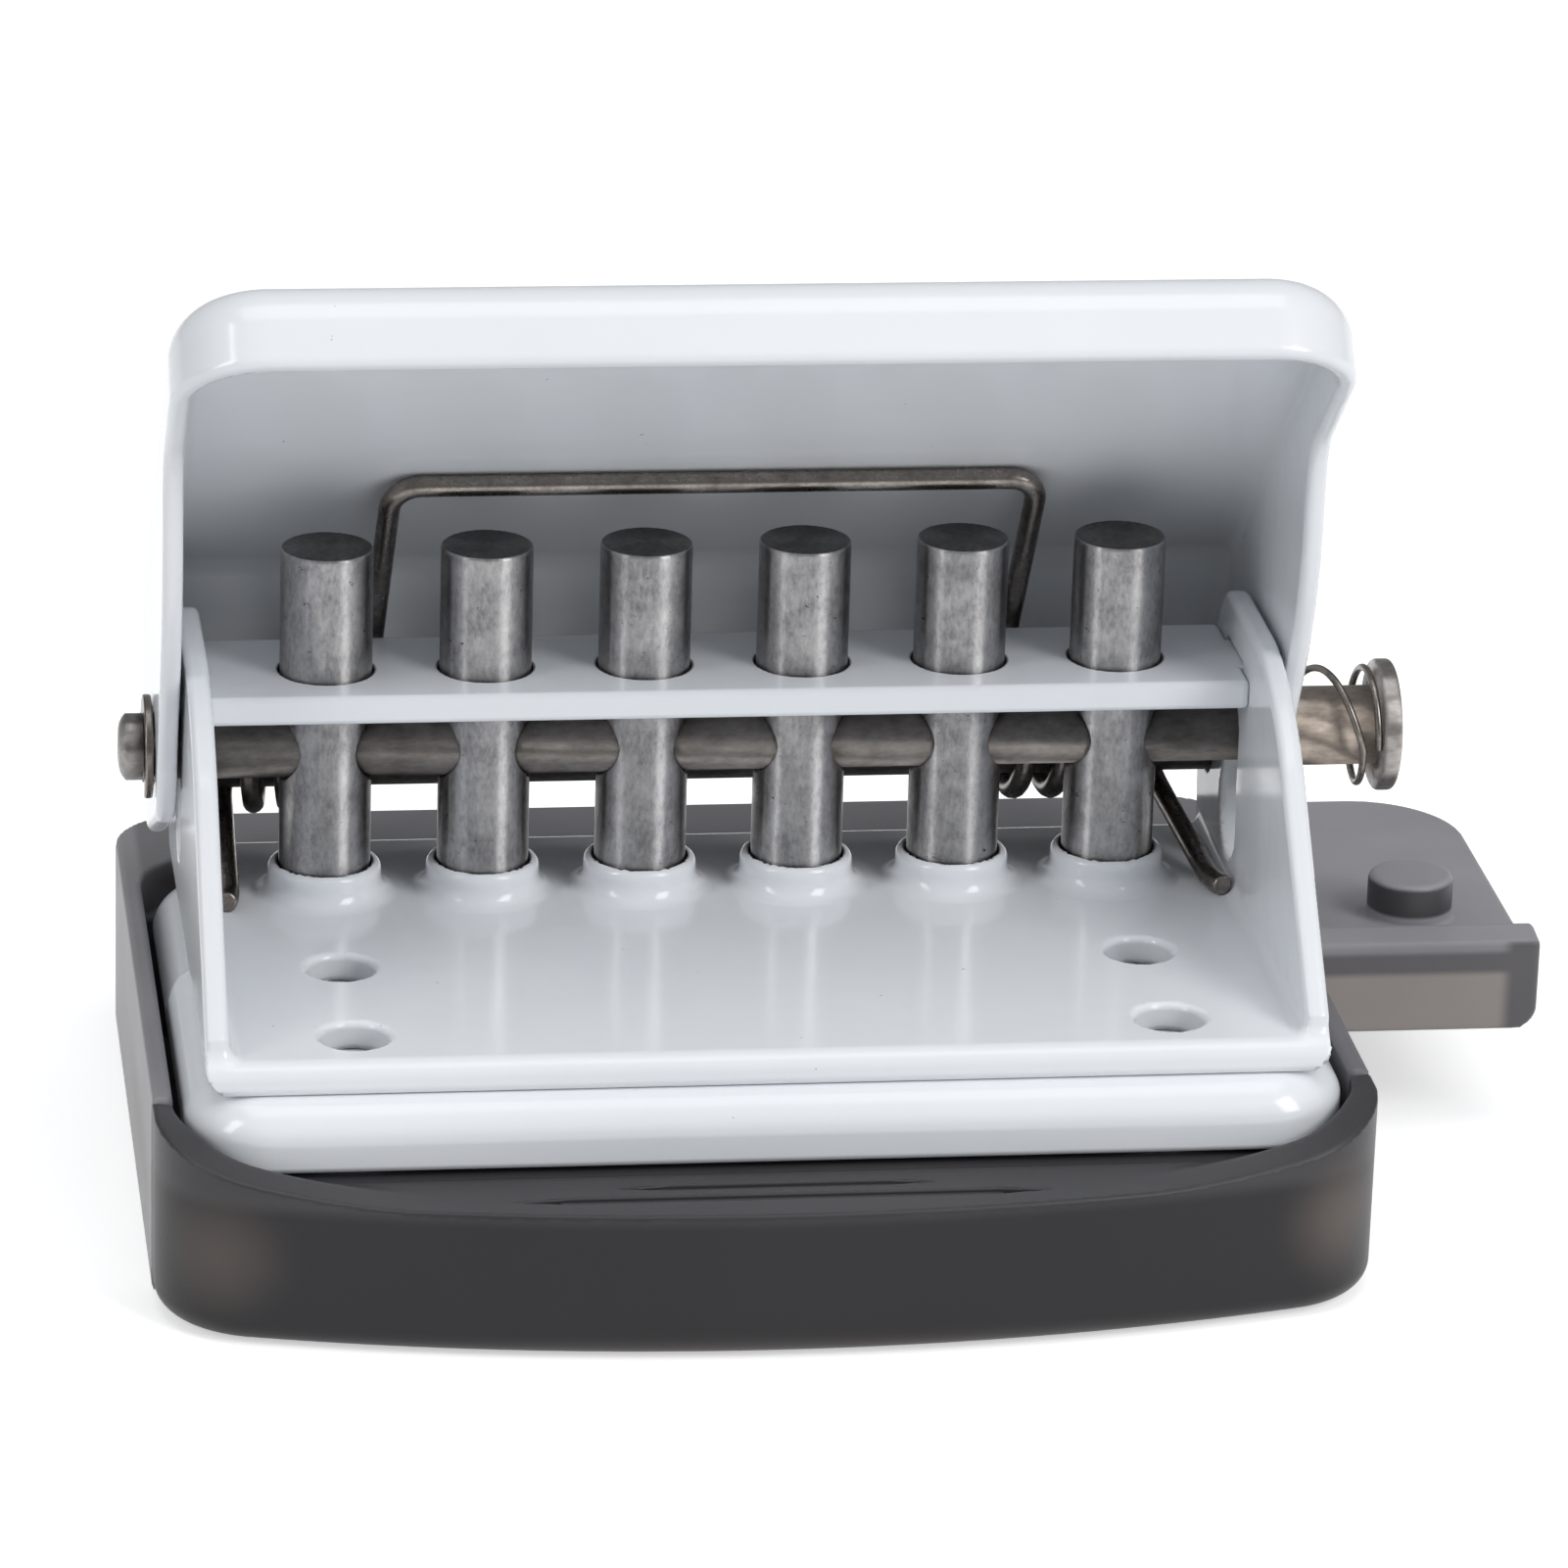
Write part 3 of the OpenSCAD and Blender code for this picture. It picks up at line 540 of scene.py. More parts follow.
def enamel():
    """Glossy stoved enamel with a faint unevenness and a few specks, and painted shade round the punches'
    bores.
    """
    material, tree, shader = new_material("white_enamel")
    place = place_mm(tree)
    cloud = ramp(tree, noise(tree, place, 0.06), [(0.3, (0.80, 0.825, 0.86)), (0.7, (0.83, 0.85, 0.88))])
    specks = ramp(tree, noise(tree, place, 1.3, 2), [(0.19, grey(0.0)), (0.21, grey(1.0))])
    worn = mixed(tree, specks, (0.35, 0.33, 0.31), cloud)
    # Painted shade: the enamel round each punch's bore is painted nearly black, where the gap falls in
    # shade.
    colour = mixed(tree, bore_gap_shade(tree, place), worn, (0.05, 0.048, 0.045))
    tree.links.new(colour, shader.inputs["Base Color"])
    shader.inputs["Roughness"].default_value = 0.14
    bump(tree, noise(tree, place, 0.35, 1), 0.0001, 0.25, shader)
    return material


def steel(name, colours, grain, roughness, axis=None, rings=(1, 1, 1)):
    """Bare steel; an axis gives the sheen of a piece that was ground while it turned about that axis."""
    material, tree, shader = new_material(name)
    place = place_mm(tree)
    speckle = noise(tree, stretched(tree, place, grain), 2.5, 4, 0.65)
    blotch = noise(tree, place, 0.6, 4, 0.6)
    tone = mixed(tree, 0.5, speckle, blotch)
    tree.links.new(ramp(tree, tone, [(0.36, colours[0]), (0.5, colours[1]), (0.64, colours[2])]),
                   shader.inputs["Base Color"])
    shader.inputs["Metallic"].default_value = 1.0
    tree.links.new(ramp(tree, tone, [(0.35, grey(roughness + 0.08)), (0.65, grey(roughness - 0.05))]),
                   shader.inputs["Roughness"])
    bump(tree, noise(tree, stretched(tree, place, rings), 2.5, 3), 0.00002, 0.4, shader)
    if axis:
        tangent = node(tree, "ShaderNodeTangent", direction_type="RADIAL", axis=axis)
        tree.links.new(tangent.outputs["Tangent"], shader.inputs["Tangent"])
        shader.inputs["Anisotropic"].default_value = 0.93
        shader.inputs["Anisotropic Rotation"].default_value = 0.25
    return material, tree, shader


def punch_steel():
    """Ground steel with dark marks from use, and blackened tops inside a bright rim."""
    colours = [(0.28, 0.27, 0.272), (0.39, 0.38, 0.382), (0.48, 0.47, 0.468)]
    material, tree, shader = steel("punch_steel", colours, (1.6, 1.6, 0.7), 0.36, "Z", (0.15, 0.15, 3.0))
    place = place_mm(tree)
    ground = shader.inputs["Base Color"].links[0].from_socket
    marks = fade(tree, noise(tree, stretched(tree, place, (1.0, 1.0, 1.5)), 1.5, 5, 0.7), 0.64, 0.70)
    marked = mixed(tree, marks, ground, (0.10, 0.09, 0.085))
    top = fade(tree, along(tree, place, "Z"), PUNCH_TOP - 0.08, PUNCH_TOP - 0.03)
    soot = ramp(tree, noise(tree, place, 3.0, 4), [(0.4, grey(0.02)), (0.7, grey(0.06))])
    tree.links.new(mixed(tree, top, marked, soot), shader.inputs["Base Color"])
    tree.links.new(mixed(tree, top, grey(1.0), grey(0.0)), shader.inputs["Metallic"])
    return material


def shaft_steel():
    """Drawn steel: brown and darker in the middle, brightest on the thick end, and lighter and plainer on
    the tip and the head.
    """
    colours = [(0.23, 0.207, 0.19), (0.29, 0.266, 0.246), (0.35, 0.322, 0.30)]
    material, tree, shader = steel("shaft_steel", colours, (0.5, 1.3, 1.3), 0.43, "X")
    drawn = shader.inputs["Base Color"].links[0].from_socket
    x = along(tree, place_mm(tree), "X")
    tip = (-33.2, -34.0, (1.2, 1.25, 1.3))
    thick_end = (33.4, 33.7, (1.5, 1.4, 1.3))
    head = (39.7, 39.8, (1.6, 1.63, 1.67))
    colour = drawn
    for start, end, factor in (tip, thick_end, head):
        tinted = mixed(tree, 1.0, drawn, factor, "MULTIPLY")
        colour = mixed(tree, fade(tree, x, start, end), colour, tinted)
    tree.links.new(colour, shader.inputs["Base Color"])
    return material


def index_face_painted_light(tree, x, y, z, plate):
    """The index's front face with painted light: brownish below, painted as light shining through the thin
    wall, dark in the middle and at the right where the plastic is thick, and painted lighter on the lip
    where light falls on it.
    """
    dark = (0.12, 0.114, 0.122)
    face = mixed(tree, fade(tree, z, 9.9, 10.5), (0.32, 0.288, 0.268), dark)
    face = mixed(tree, fade(tree, z, 11.3, 11.8), face, (0.27, 0.26, 0.272))
    face = mixed(tree, fade(tree, x, 47.3, 48.3), face, dark)
    return mixed(tree, fade(tree, y, -5.2, -5.45), plate, face)


def smoke_plastic():
    """Smoke-coloured plastic: lighter in the index and the base than in the drawer, as painted light shining
    through their thin walls.
    """
    material, tree, shader = new_material("smoke_plastic")
    place = place_mm(tree)
    x, y, z = (along(tree, place, axis) for axis in "XYZ")
    index_tone = (0.34, 0.33, 0.35)
    # Painted shade: the drawer's front face is painted darker than its top, which is painted lighter where
    # light falls.
    drawer = mixed(tree, fade(tree, z, 8.0, 9.2), (0.014, 0.0135, 0.016), (0.05, 0.048, 0.052))
    # Painted light: the base's left outer face is painted lighter than the rest.
    colour = mixed(tree, fade(tree, x, -33.8, -34.4), (0.20, 0.194, 0.206), (0.31, 0.30, 0.312))
    colour = mixed(tree, fade(tree, x, 35.5, 35.6), colour, index_face_painted_light(tree, x, y, z, index_tone))
    colour = mixed(tree, fade(tree, y, -24.55, -24.6), colour, drawer)
    # Painted light shining through thin corners and edges, and painted shade, from the zones listed below.
    for centre, reach, strength, tint in SMOKE_LIGHT_AND_SHADE:
        share = mixed(tree, near(tree, place, centre, reach), grey(0.0), grey(strength))
        colour = mixed(tree, share, colour, tint)
    # Painted shade: the nub's sides are painted dark under its lighter top.
    nub = mixed(tree, fade(tree, z, 14.3, 14.6), (0.06, 0.057, 0.062), index_tone)
    colour = mixed(tree, fade(tree, z, 12.5, 12.8), colour, nub)
    cloud = ramp(tree, noise(tree, place, 0.09), [(0.3, grey(0.85)), (0.7, grey(1.0))])
    tree.links.new(mixed(tree, 1.0, colour, cloud, "MULTIPLY"), shader.inputs["Base Color"])
    shader.inputs["Roughness"].default_value = 0.4
    shader.inputs["Specular IOR Level"].default_value = 0.35
    bump(tree, noise(tree, place, 2.5, 2), 0.00002, 0.4, shader)
    return material


# Painted light and shade on the plastic: lighter and browner where light shines through the drawer's front
# corners and bottom edge, darker and browner on the base's left face and in its pocket's rear corner;
# centre, half axes, strength and colour
WARM = (0.12, 0.096, 0.085)
SMOKE_LIGHT_AND_SHADE = [
    ((-33.0, -33.5, 5.5), (6.0, 6.0, 5.0), 0.85, WARM),
    ((33.0, -32.5, 6.0), (5.0, 5.0, 5.0), 0.95, WARM),
    ((0.0, -36.4, 0.2), (40.0, 8.0, 1.8), 0.4, WARM),
    ((-35.4, -10.0, 5.0), (2.0, 16.0, 4.0), 0.6, (0.19, 0.16, 0.143)),
    ((-33.0, 13.8, 10.8), (6.0, 3.0, 1.2), 0.9, WARM),
]


# Frame, guide plate and pan; the first number of meet, join, cut and box is the radius of the edges
def cheek_outline():
    """A cheek from the side: straight foot and slope, round top and ear, and a land about the rod."""
    bend, foot_h, ear_r = 16.0, 1.2, 3.0
    swing, heel_turn, heel = 36.4289, -40, 1.1
    turn = bend * math.tan(math.radians(CHEEK_SLOPE / 2))
    front = FLOOR_FRONT + FLOOR_EDGE
    top = FLOOR_Z + CHEEK_H
    knee = front + (CHEEK_H - foot_h) / math.tan(math.radians(CHEEK_SLOPE))
    ear_z = top - ear_r
    tilt = math.radians(swing)
    ear_y = ROD_AT[0] + (CHEEK_LAND - ear_r - (ear_z - ROD_AT[1]) * math.sin(tilt)) / math.cos(tilt)
    return ([(front, SLOT_TOP), (front, FLOOR_Z + foot_h)]
            + arc((knee + turn, top - bend), bend, 90 + CHEEK_SLOPE, 90)
            + arc((ear_y, ear_z), ear_r, 90, swing)
            + arc(ROD_AT, CHEEK_LAND, swing, heel_turn)
            + [(FLOOR_REAR + heel, SLOT_TOP)])


def punch_bores(x, y):
    return hypot(at_punch(x), y) - PUNCH_D / 2 - PUNCH_FIT


def fixing_holes(side, y):
    return np.minimum(*[disc(side, y, (FIX_HOLE_X, hole_y), FIX_HOLE_D) for hole_y in FIX_HOLE_Y])


def body_frame_field(x, y, z):
    side = np.abs(x)
    floor = box(0.3, (x, -CHEEK_OUT, CHEEK_OUT), (y, FLOOR_FRONT, FLOOR_REAR), (z, SLOT_TOP, FLOOR_Z))
    nose = meet(FLOOR_EDGE, z - FLOOR_Z, FLOOR_FRONT - y)
    cheek = meet(0.45, outline(y, z, CHEEK), between(side, CHEEK_IN, CHEEK_OUT))
    body = join(0.9, np.maximum(floor, nose), cheek)
    collar = meet(0.45, hypot(at_punch(x), y) - COLLAR_D / 2, z - FLOOR_Z - COLLAR_H)
    body = join(1.1, body, collar)
    body = np.maximum(body, meet(1.5, side - CHEEK_OUT, SLOT_TOP - z))
    body = cut(0.15, body, punch_bores(x, y))
    body = cut(0.4, body, fixing_holes(side, y))
    low = SHAFT_AT - [0, STROKE]
    overrun = 0.8
    inside = CHEEK_IN - 1
    slot = long_hole(y, z, SHAFT_AT, low, SHAFT_D + SHAFT_PLAY)
    lock = np.maximum(long_hole(y, z, low, low - [0, overrun], LOCK_D + LOCK_PLAY), inside - x)
    hole = disc(y, z, ROD_AT, ROD_D + ROD_PLAY)
    window = box(0.1, (y, TAB_Y[0] - TAB_FIT, TAB_Y[1] + TAB_FIT),
                 (z, GUIDE_Z[0] - TAB_FIT, GUIDE_Z[1] + TAB_FIT))
    return cut(0.2, body, *[np.maximum(tool, inside - side) for tool in (slot, lock, hole, window)])


def guide_plate_field(x, y, z):
    plate = box(0.35, (x, -CHEEK_IN, CHEEK_IN), (y, *GUIDE_Y), (z, *GUIDE_Z))
    tabs = box(0.15, (x, -CHEEK_OUT, CHEEK_OUT), (y, *TAB_Y), (z, *GUIDE_Z))
    return cut(0.12, np.minimum(plate, tabs), punch_bores(x, y))


def base_pan_field(x, y, z):
    side = np.abs(x)
    plan = meet(PAN_CORNER, side - PAN_HALF, PAN_FRONT - y, y - PAN_REAR)
    step = meet(0.8, z - SLOT_TOP, y - PAPER_STOP)
    top = join(0.5, step, z - TABLE_Z)
    form = meet(PAN_EDGE, plan, top)
    sheet = np.maximum(form, -form - PAN_T)
    sheet = meet(0.4, sheet, SKIRT_Z - z)
    below, above = 5.0, 20.0
    window = box(0.2, (side, -1.0, DIE_WINDOW_X), (y, -DIE_WINDOW_Y, DIE_WINDOW_Y), (z, below, above))
    rivet = disc(side, y, (RIVET_X, 0.0), RIVET_D)
    return cut(0.2, sheet, window, fixing_holes(side, y), rivet)


# Lever
TILT = math.radians(LEVER_ANGLE)


def lever_frame(y, z):
    """Distance from the fulcrum along the thumb plate, and away from it."""
    rel_y, rel_z = y - ROD_AT[0], z - ROD_AT[1]
    return (rel_z * math.sin(TILT) - rel_y * math.cos(TILT),
            rel_y * math.sin(TILT) + rel_z * math.cos(TILT))


def lever_point(s, n):
    return (ROD_AT[0] + n * math.sin(TILT) - s * math.cos(TILT),
            ROD_AT[1] + s * math.sin(TILT) + n * math.cos(TILT))


LEVER_TOP = LEVER_OFF + LEVER_T
LEVER_BACK = 6.0
LEVER_SKIRT = 3.6
LEVER_BEND = 4.0
WALL_LAND = 4.6
LIP_START = 31.5
BEYOND = 80.0


def lever_rim():
    """The free edge of the lever's walls and lip, seen from the side, closed far outside the lever."""
    rest = math.degrees(math.atan2(SHAFT_AT[1] - ROD_AT[1], ROD_AT[0]))
    square, heel_turn = -90 - rest, -50
    low = SHAFT_AT - [WALL_LAND, 0]
    waist = SHAFT_AT + [-10.3, 17.6]
    lip_n = LEVER_TOP - LIP_H
    low_pull, waist_pull_down, waist_pull_up, lip_pull = [-1.2, 4.6], [-0.3, -9], [-0.1, 2.2], 1.9
    return ([lever_point(BEYOND, lip_n), lever_point(BEYOND, BEYOND), tuple(ROD_AT + [BEYOND, BEYOND]),
             tuple(ROD_AT + [BEYOND, -LEVER_SKIRT])]
            + arc(ROD_AT, WALL_LAND, heel_turn, square)
            + arc(SHAFT_AT, WALL_LAND, square, -180)
            + bezier(low, low + low_pull, waist + waist_pull_down, waist)
            + bezier(waist, waist + waist_pull_up, lever_point(LIP_START - lip_pull, lip_n),
                     lever_point(LIP_START, lip_n)))


def lever_hood():
    """Corners of the thumb plate and the rear wall, drawn in by the radius of the bend between them."""
    n, back = LEVER_TOP - LEVER_BEND, LEVER_BACK - LEVER_BEND
    s = (n * math.sin(TILT) - back) / math.cos(TILT)
    return [lever_point(s, n), lever_point(BEYOND, n), tuple(ROD_AT - [BEYOND, BEYOND]),
            tuple(ROD_AT + [back, -BEYOND])]


def lever_field(x, y, z):
    side = np.abs(x)
    s, _ = lever_frame(y, z)
    plan = meet(LEVER_CORNER, side - LEVER_OUT, s - LEVER_LEN)
    hood = outline(y, z, HOOD) - LEVER_BEND
    hollow = meet(LEVER_INNER_EDGE, plan + LEVER_T, hood + LEVER_T)
    sheet = np.maximum(meet(LEVER_EDGE, plan, hood), -hollow)
    body = meet(0.5, sheet, outline(y, z, RIM))
    arm = SHAFT_AT - ROD_AT
    arm_start = ROD_AT + arm * ROD_AT[0] / np.hypot(*arm)
    slot_d = np.where(x < 0, SHAFT_D, LOCK_D) + LEVER_PLAY
    slot = long_hole(y, z, arm_start, SHAFT_AT, 0) - slot_d / 2
    return cut(0.15, body, slot, disc(y, z, ROD_AT, ROD_D + SHAFT_PLAY))


CHEEK = cheek_outline()
RIM = lever_rim()
HOOD = lever_hood()


# Punches
def punch_field(x, y, z):
    grind_r, grind_depth = 7.0, 0.5
    body = meet(0.22, hypot(x, y) - PUNCH_D / 2, z - PUNCH_TOP)
    body = np.maximum(body, PUNCH_BOTTOM - z)
    grind = disc(y, z, (0, PUNCH_BOTTOM + grind_depth - grind_r), 2 * grind_r)
    body = np.maximum(body, -grind)
    return cut(0.15, body, disc(y, z, SHAFT_AT, SHAFT_D + SHAFT_PLAY))


def punches(material):
    half = 2.8
    shape = skin("punch", punch_field, (-half, -half, PUNCH_BOTTOM), (half, half, PUNCH_TOP), 0.16, 0.35)
    for i in range(PUNCH_COUNT):
        mesh = shape.data.copy()
        mesh.transform(Matrix.Translation(((i - (PUNCH_COUNT - 1) / 2) * PITCH * MM, 0, 0)))
        name = "punch_%d" % (i + 1)
        stand_in(placed(name + "_ground", mesh), name, "punches", material)
    bpy.data.objects.remove(shape)


# Shafts and clip
def lock_shaft():
    r, thick, head = SHAFT_D / 2, LOCK_D / 2, HEAD_D / 2
    clip_in, clip_out, shoulder, head_in, head_out = -34.05, -34.65, 33.6, 39.8, 40.9
    tip, groove = clip_out - 1.0, r - 0.5
    dome = [(tip - drop, share * r) for drop, share in ((0.4, 0.6), (0.33, 0.75), (0.2, 0.88))]
    profile = [*dome, (tip, r), (clip_out, r),
               (clip_out, groove), (clip_in, groove), (clip_in, r), (shoulder, r),
               *rounded_step(shoulder, r, thick, 0.15), (head_in, thick),
               *rounded_step(head_in, thick, head, 0.25), *rounded_step(head_out, head, 0.4, 0.3)]
    return turned("lock_shaft_turned", profile, SHAFT_AT)


def fulcrum_rod():
    r, end, flat, bevel = ROD_D / 2, 34.0, 0.4, 0.4
    profile = [*rounded_step(-end, flat, r, bevel), *rounded_step(end, r, flat, bevel)]
    return turned("fulcrum_rod_turned", profile, ROD_AT)


def retaining_clip_field(x, y, z):
    """An E-clip: a ring with a mouth below and two lobes cut out above."""
    v, w = y - SHAFT_AT[0], z - SHAFT_AT[1]
    hole_r, mouth_half, lobe_at, lobe_r = 1.55, 1.3, 1.7, 0.6
    ring = hypot(v, w) - CLIP_R
    hole = hypot(v, w) - hole_r
    mouth = box(0.1, (v, -mouth_half, mouth_half), (w, -3 * CLIP_R, 0.0))
    flat = np.maximum(np.maximum(ring, -hole), -mouth)
    for a in np.radians((30, 150)):
        flat = np.maximum(flat, lobe_r - hypot(v - lobe_at * math.cos(a), w - lobe_at * math.sin(a)))
    return meet(0.12, flat, between(x, *CLIP_X))


# Springs; the return spring's left and right ends differ a little
WIRE_D = 1.3
COIL_R = 2.95
BAIL_AT = 16.8
BAIL_GAP = 0.05
BAIL_CORNER = 1.8
BAIL_LEAN = -0.9
RETURN_TURNS = 4
LEG_Z = FLOOR_Z + WIRE_D / 2
SPRING_ENDS = {
    "left": {"out": -1, "bail_x": -19.8, "coil_x": -29.4,
             "foot": (-29.6, -2.4, LEG_Z), "end": (-29.8, -3.3, LEG_Z)},
    "right": {"out": 1, "bail_x": 19.0, "coil_x": 28.1,
              "foot": (29.7, -2.4, LEG_Z), "end": (30.3, -3.9, LEG_Z)},
}


def straight(start, end, spacing=0.25):
    """Points from the start, left out, to the end."""
    start, end = np.array(start, float), np.array(end, float)
    count = math.ceil(np.linalg.norm(end - start) / spacing)
    return [start + (end - start) * k / count for k in range(1, count + 1)]


def eased(line, rounds):
    """The line with its bends rounded; its ends stay."""
    line = np.array(line)
    for _ in range(rounds):
        line[1:-1] = (line[:-2] + 2 * line[1:-1] + line[2:]) / 4
    return line


def return_spring_half(out, bail_x, coil_x, foot, end):
    """Half of the bail, a coil on the rod and a leg on the floor, from the middle outwards."""
    bar = np.array(lever_point(BAIL_AT, LEVER_OFF - WIRE_D / 2 - BAIL_GAP))
    rel = bar - ROD_AT
    bar_angle = math.atan2(rel[1], rel[0]) - math.acos(COIL_R / np.hypot(*rel))
    rel = np.array(foot[1:]) - ROD_AT
    leg_angle = math.atan2(rel[1], rel[0]) + math.acos(COIL_R / np.hypot(*rel))
    sweep = bar_angle - leg_angle + 2 * math.pi * RETURN_TURNS

    def on_coil(x, a):
        return np.array([x, ROD_AT[0] + COIL_R * math.cos(a), ROD_AT[1] + COIL_R * math.sin(a)])

    corner = np.array([bail_x, *bar])
    coil_start = on_coil(bail_x + BAIL_LEAN, bar_angle)
    down = (coil_start - corner) / np.linalg.norm(coil_start - corner)
    across = np.array([out, 0.0, 0.0])
    line = [np.array([0.0, *bar])]
    line += straight(line[0], corner - BAIL_CORNER * across)
    line += [corner + BAIL_CORNER * ((math.sin(a) - 1) * across + (1 - math.cos(a)) * down)
             for a in np.radians(np.arange(10, 91, 10))]
    line += straight(line[-1], coil_start)
    coil_from = len(line)
    line += [on_coil(bail_x + BAIL_LEAN + (coil_x - bail_x - BAIL_LEAN) * t, bar_angle - sweep * t)
             for t in np.linspace(0, 1, 36 * RETURN_TURNS)[1:]]
    coil_to = len(line)
    line += straight(line[-1], foot) + straight(foot, end)
    line = np.array(line)
    line[coil_from - 6:coil_from + 4] = eased(line[coil_from - 6:coil_from + 4], 4)
    line[coil_to - 4:] = eased(line[coil_to - 4:], 6)
    return line


def return_spring(material):
    for label, ends in SPRING_ENDS.items():
        piece = tube("return_spring_" + label, return_spring_half(**ends), WIRE_D, 14)
        piece.data.materials.append(material)
        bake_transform(piece)
        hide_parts("return_spring")


LOCK_WIRE_D = 0.45
LOCK_COIL_R = 3.475
LOCK_FROM = 34.325
LOCK_TO = 39.525
LOCK_WIDE_TURNS = 0.6
LOCK_CLOSE_TURNS = 1.0
LOCK_CLOSE_PITCH = 0.95
LOCK_START = -30.0


def lock_spring(material):
    wide = (LOCK_TO - LOCK_FROM - LOCK_CLOSE_TURNS * LOCK_CLOSE_PITCH) / LOCK_WIDE_TURNS
    line = []
    for t in np.linspace(0, LOCK_WIDE_TURNS + LOCK_CLOSE_TURNS, 91):
        x = LOCK_FROM + wide * min(t, LOCK_WIDE_TURNS) + LOCK_CLOSE_PITCH * max(t - LOCK_WIDE_TURNS, 0)
        a = math.radians(LOCK_START + 360 * t)
        line.append((x, SHAFT_AT[0] + LOCK_COIL_R * math.cos(a), SHAFT_AT[1] + LOCK_COIL_R * math.sin(a)))
    piece = tube("lock_spring_wire", line, LOCK_WIRE_D, 10)
    stand_in(piece, "lock_spring", "drive_shaft", material)
    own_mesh(piece)


# Plastic base
def base_shell_field(x, y, z):
    side = np.abs(x)
    plan = np.maximum(meet(BASE_CORNER, side - BASE_HALF, y - BASE_REAR), SEAM_Y - y)
    body = meet(0.3, plan, between(z, 0, TABLE_Z))
    pocket = np.maximum(meet(POCKET_CORNER, side - POCKET_HALF, y - POCKET_REAR), BASE_T - z)
    channel = np.maximum(meet(BASE_CORNER - BASE_T, side - POCKET_HALF, y - BASE_REAR + BASE_T),
                         np.maximum(POCKET_REAR + BASE_T - y, between(z, BASE_T, MOUTH_Z[1])))
    body = np.maximum(cut(0.25, body, pocket), -channel)
    posts = np.minimum(*[disc(side, y, (SCREW_X, screw_y), POST_D) for screw_y in SCREW_Y])
    posts = np.maximum(posts, between(z, 0, SLOT_TOP - PAN_T))
    wall = POCKET_HALF + OVERLAP
    seat = box(0.1, (side, SEAT_X, wall), (y, PAN_REAR - 2, POCKET_REAR + OVERLAP), (z, 0.0, SKIRT_Z))
    rail_y = (TONGUE_Y[0] - TONGUE_FIT, TONGUE_Y[1] + TONGUE_FIT)
    rails = np.minimum(between(y, rail_y[0], rail_y[0] + BASE_T), between(y, rail_y[1] - BASE_T, rail_y[1]))
    rails = np.maximum(np.maximum(rails, between(x, 0, wall)), between(z, 0, MOUTH_Z[0]))
    body = np.minimum(np.minimum(body, posts), np.minimum(seat, rails))
    for screw_y in SCREW_Y:
        body = np.maximum(body, -disc(side, y, (SCREW_X, screw_y), SCREW_HOLE_D))
        head = np.maximum(disc(side, y, (SCREW_X, screw_y), SCREW_HEAD_D), z - SCREW_HEAD_Z)
        body = cut(0.1, body, head)
    mouth = box(0.1, (x, POCKET_HALF - 5, 99.0), (y, *rail_y), (z, *MOUTH_Z))
    return cut(0.15, body, mouth)


DRAWER_FRONT = -36.4
DRAWER_BACK = -24.6
DRAWER_BOTTOM = 0.2
DRAWER_CORNER = 6.5
DRAWER_SKIN = 1.8
DRAWER_RIM = 2.6
BOW_R = 125.0
BOW_Y = BOW_R + DRAWER_FRONT
FLANK_X = 24.0
BIN_HALF = 25.0
BIN_Z = (1.4, 7.4)
# Left and right end, place and width of the finger grooves
GRIPS = ((-15.2, 15.0, -33.6, 0.7), (-9.0, 8.4, -32.0, 0.6))


def slope(u, v, foot, run, rise):
    """Distance to a plane that climbs from v = 0 at the foot to the rise at the end of the run."""
    return ((u - foot) * rise - v * run) / math.hypot(run, rise)


def drawer_outline(x, y, inset):
    """Plan of the drawer's front: a shallow bow with round corners."""
    side = np.abs(x)
    half, bow, r = BASE_HALF - inset, BOW_R - inset, DRAWER_CORNER - inset
    corner_y = BOW_Y - math.sqrt((bow - r) ** 2 - (half - r) ** 2)
    turn = math.asin((half - r) / (bow - r))
    in_bow = hypot(x, y - BOW_Y) - bow
    in_corner = hypot(side - (half - r), y - corner_y) - r
    angle = np.arctan2(side - (half - r), corner_y - y)
    return np.where(y > corner_y, side - half, np.where(angle < turn, in_bow, in_corner))


def grip_field(x, y, x0, x1, at, w):
    """A finger groove with pointed ends."""
    taper = w / 2 * np.clip(np.minimum(x - x0, x1 - x) / (4 * w), -1, 1)
    return np.abs(y - at) - taper


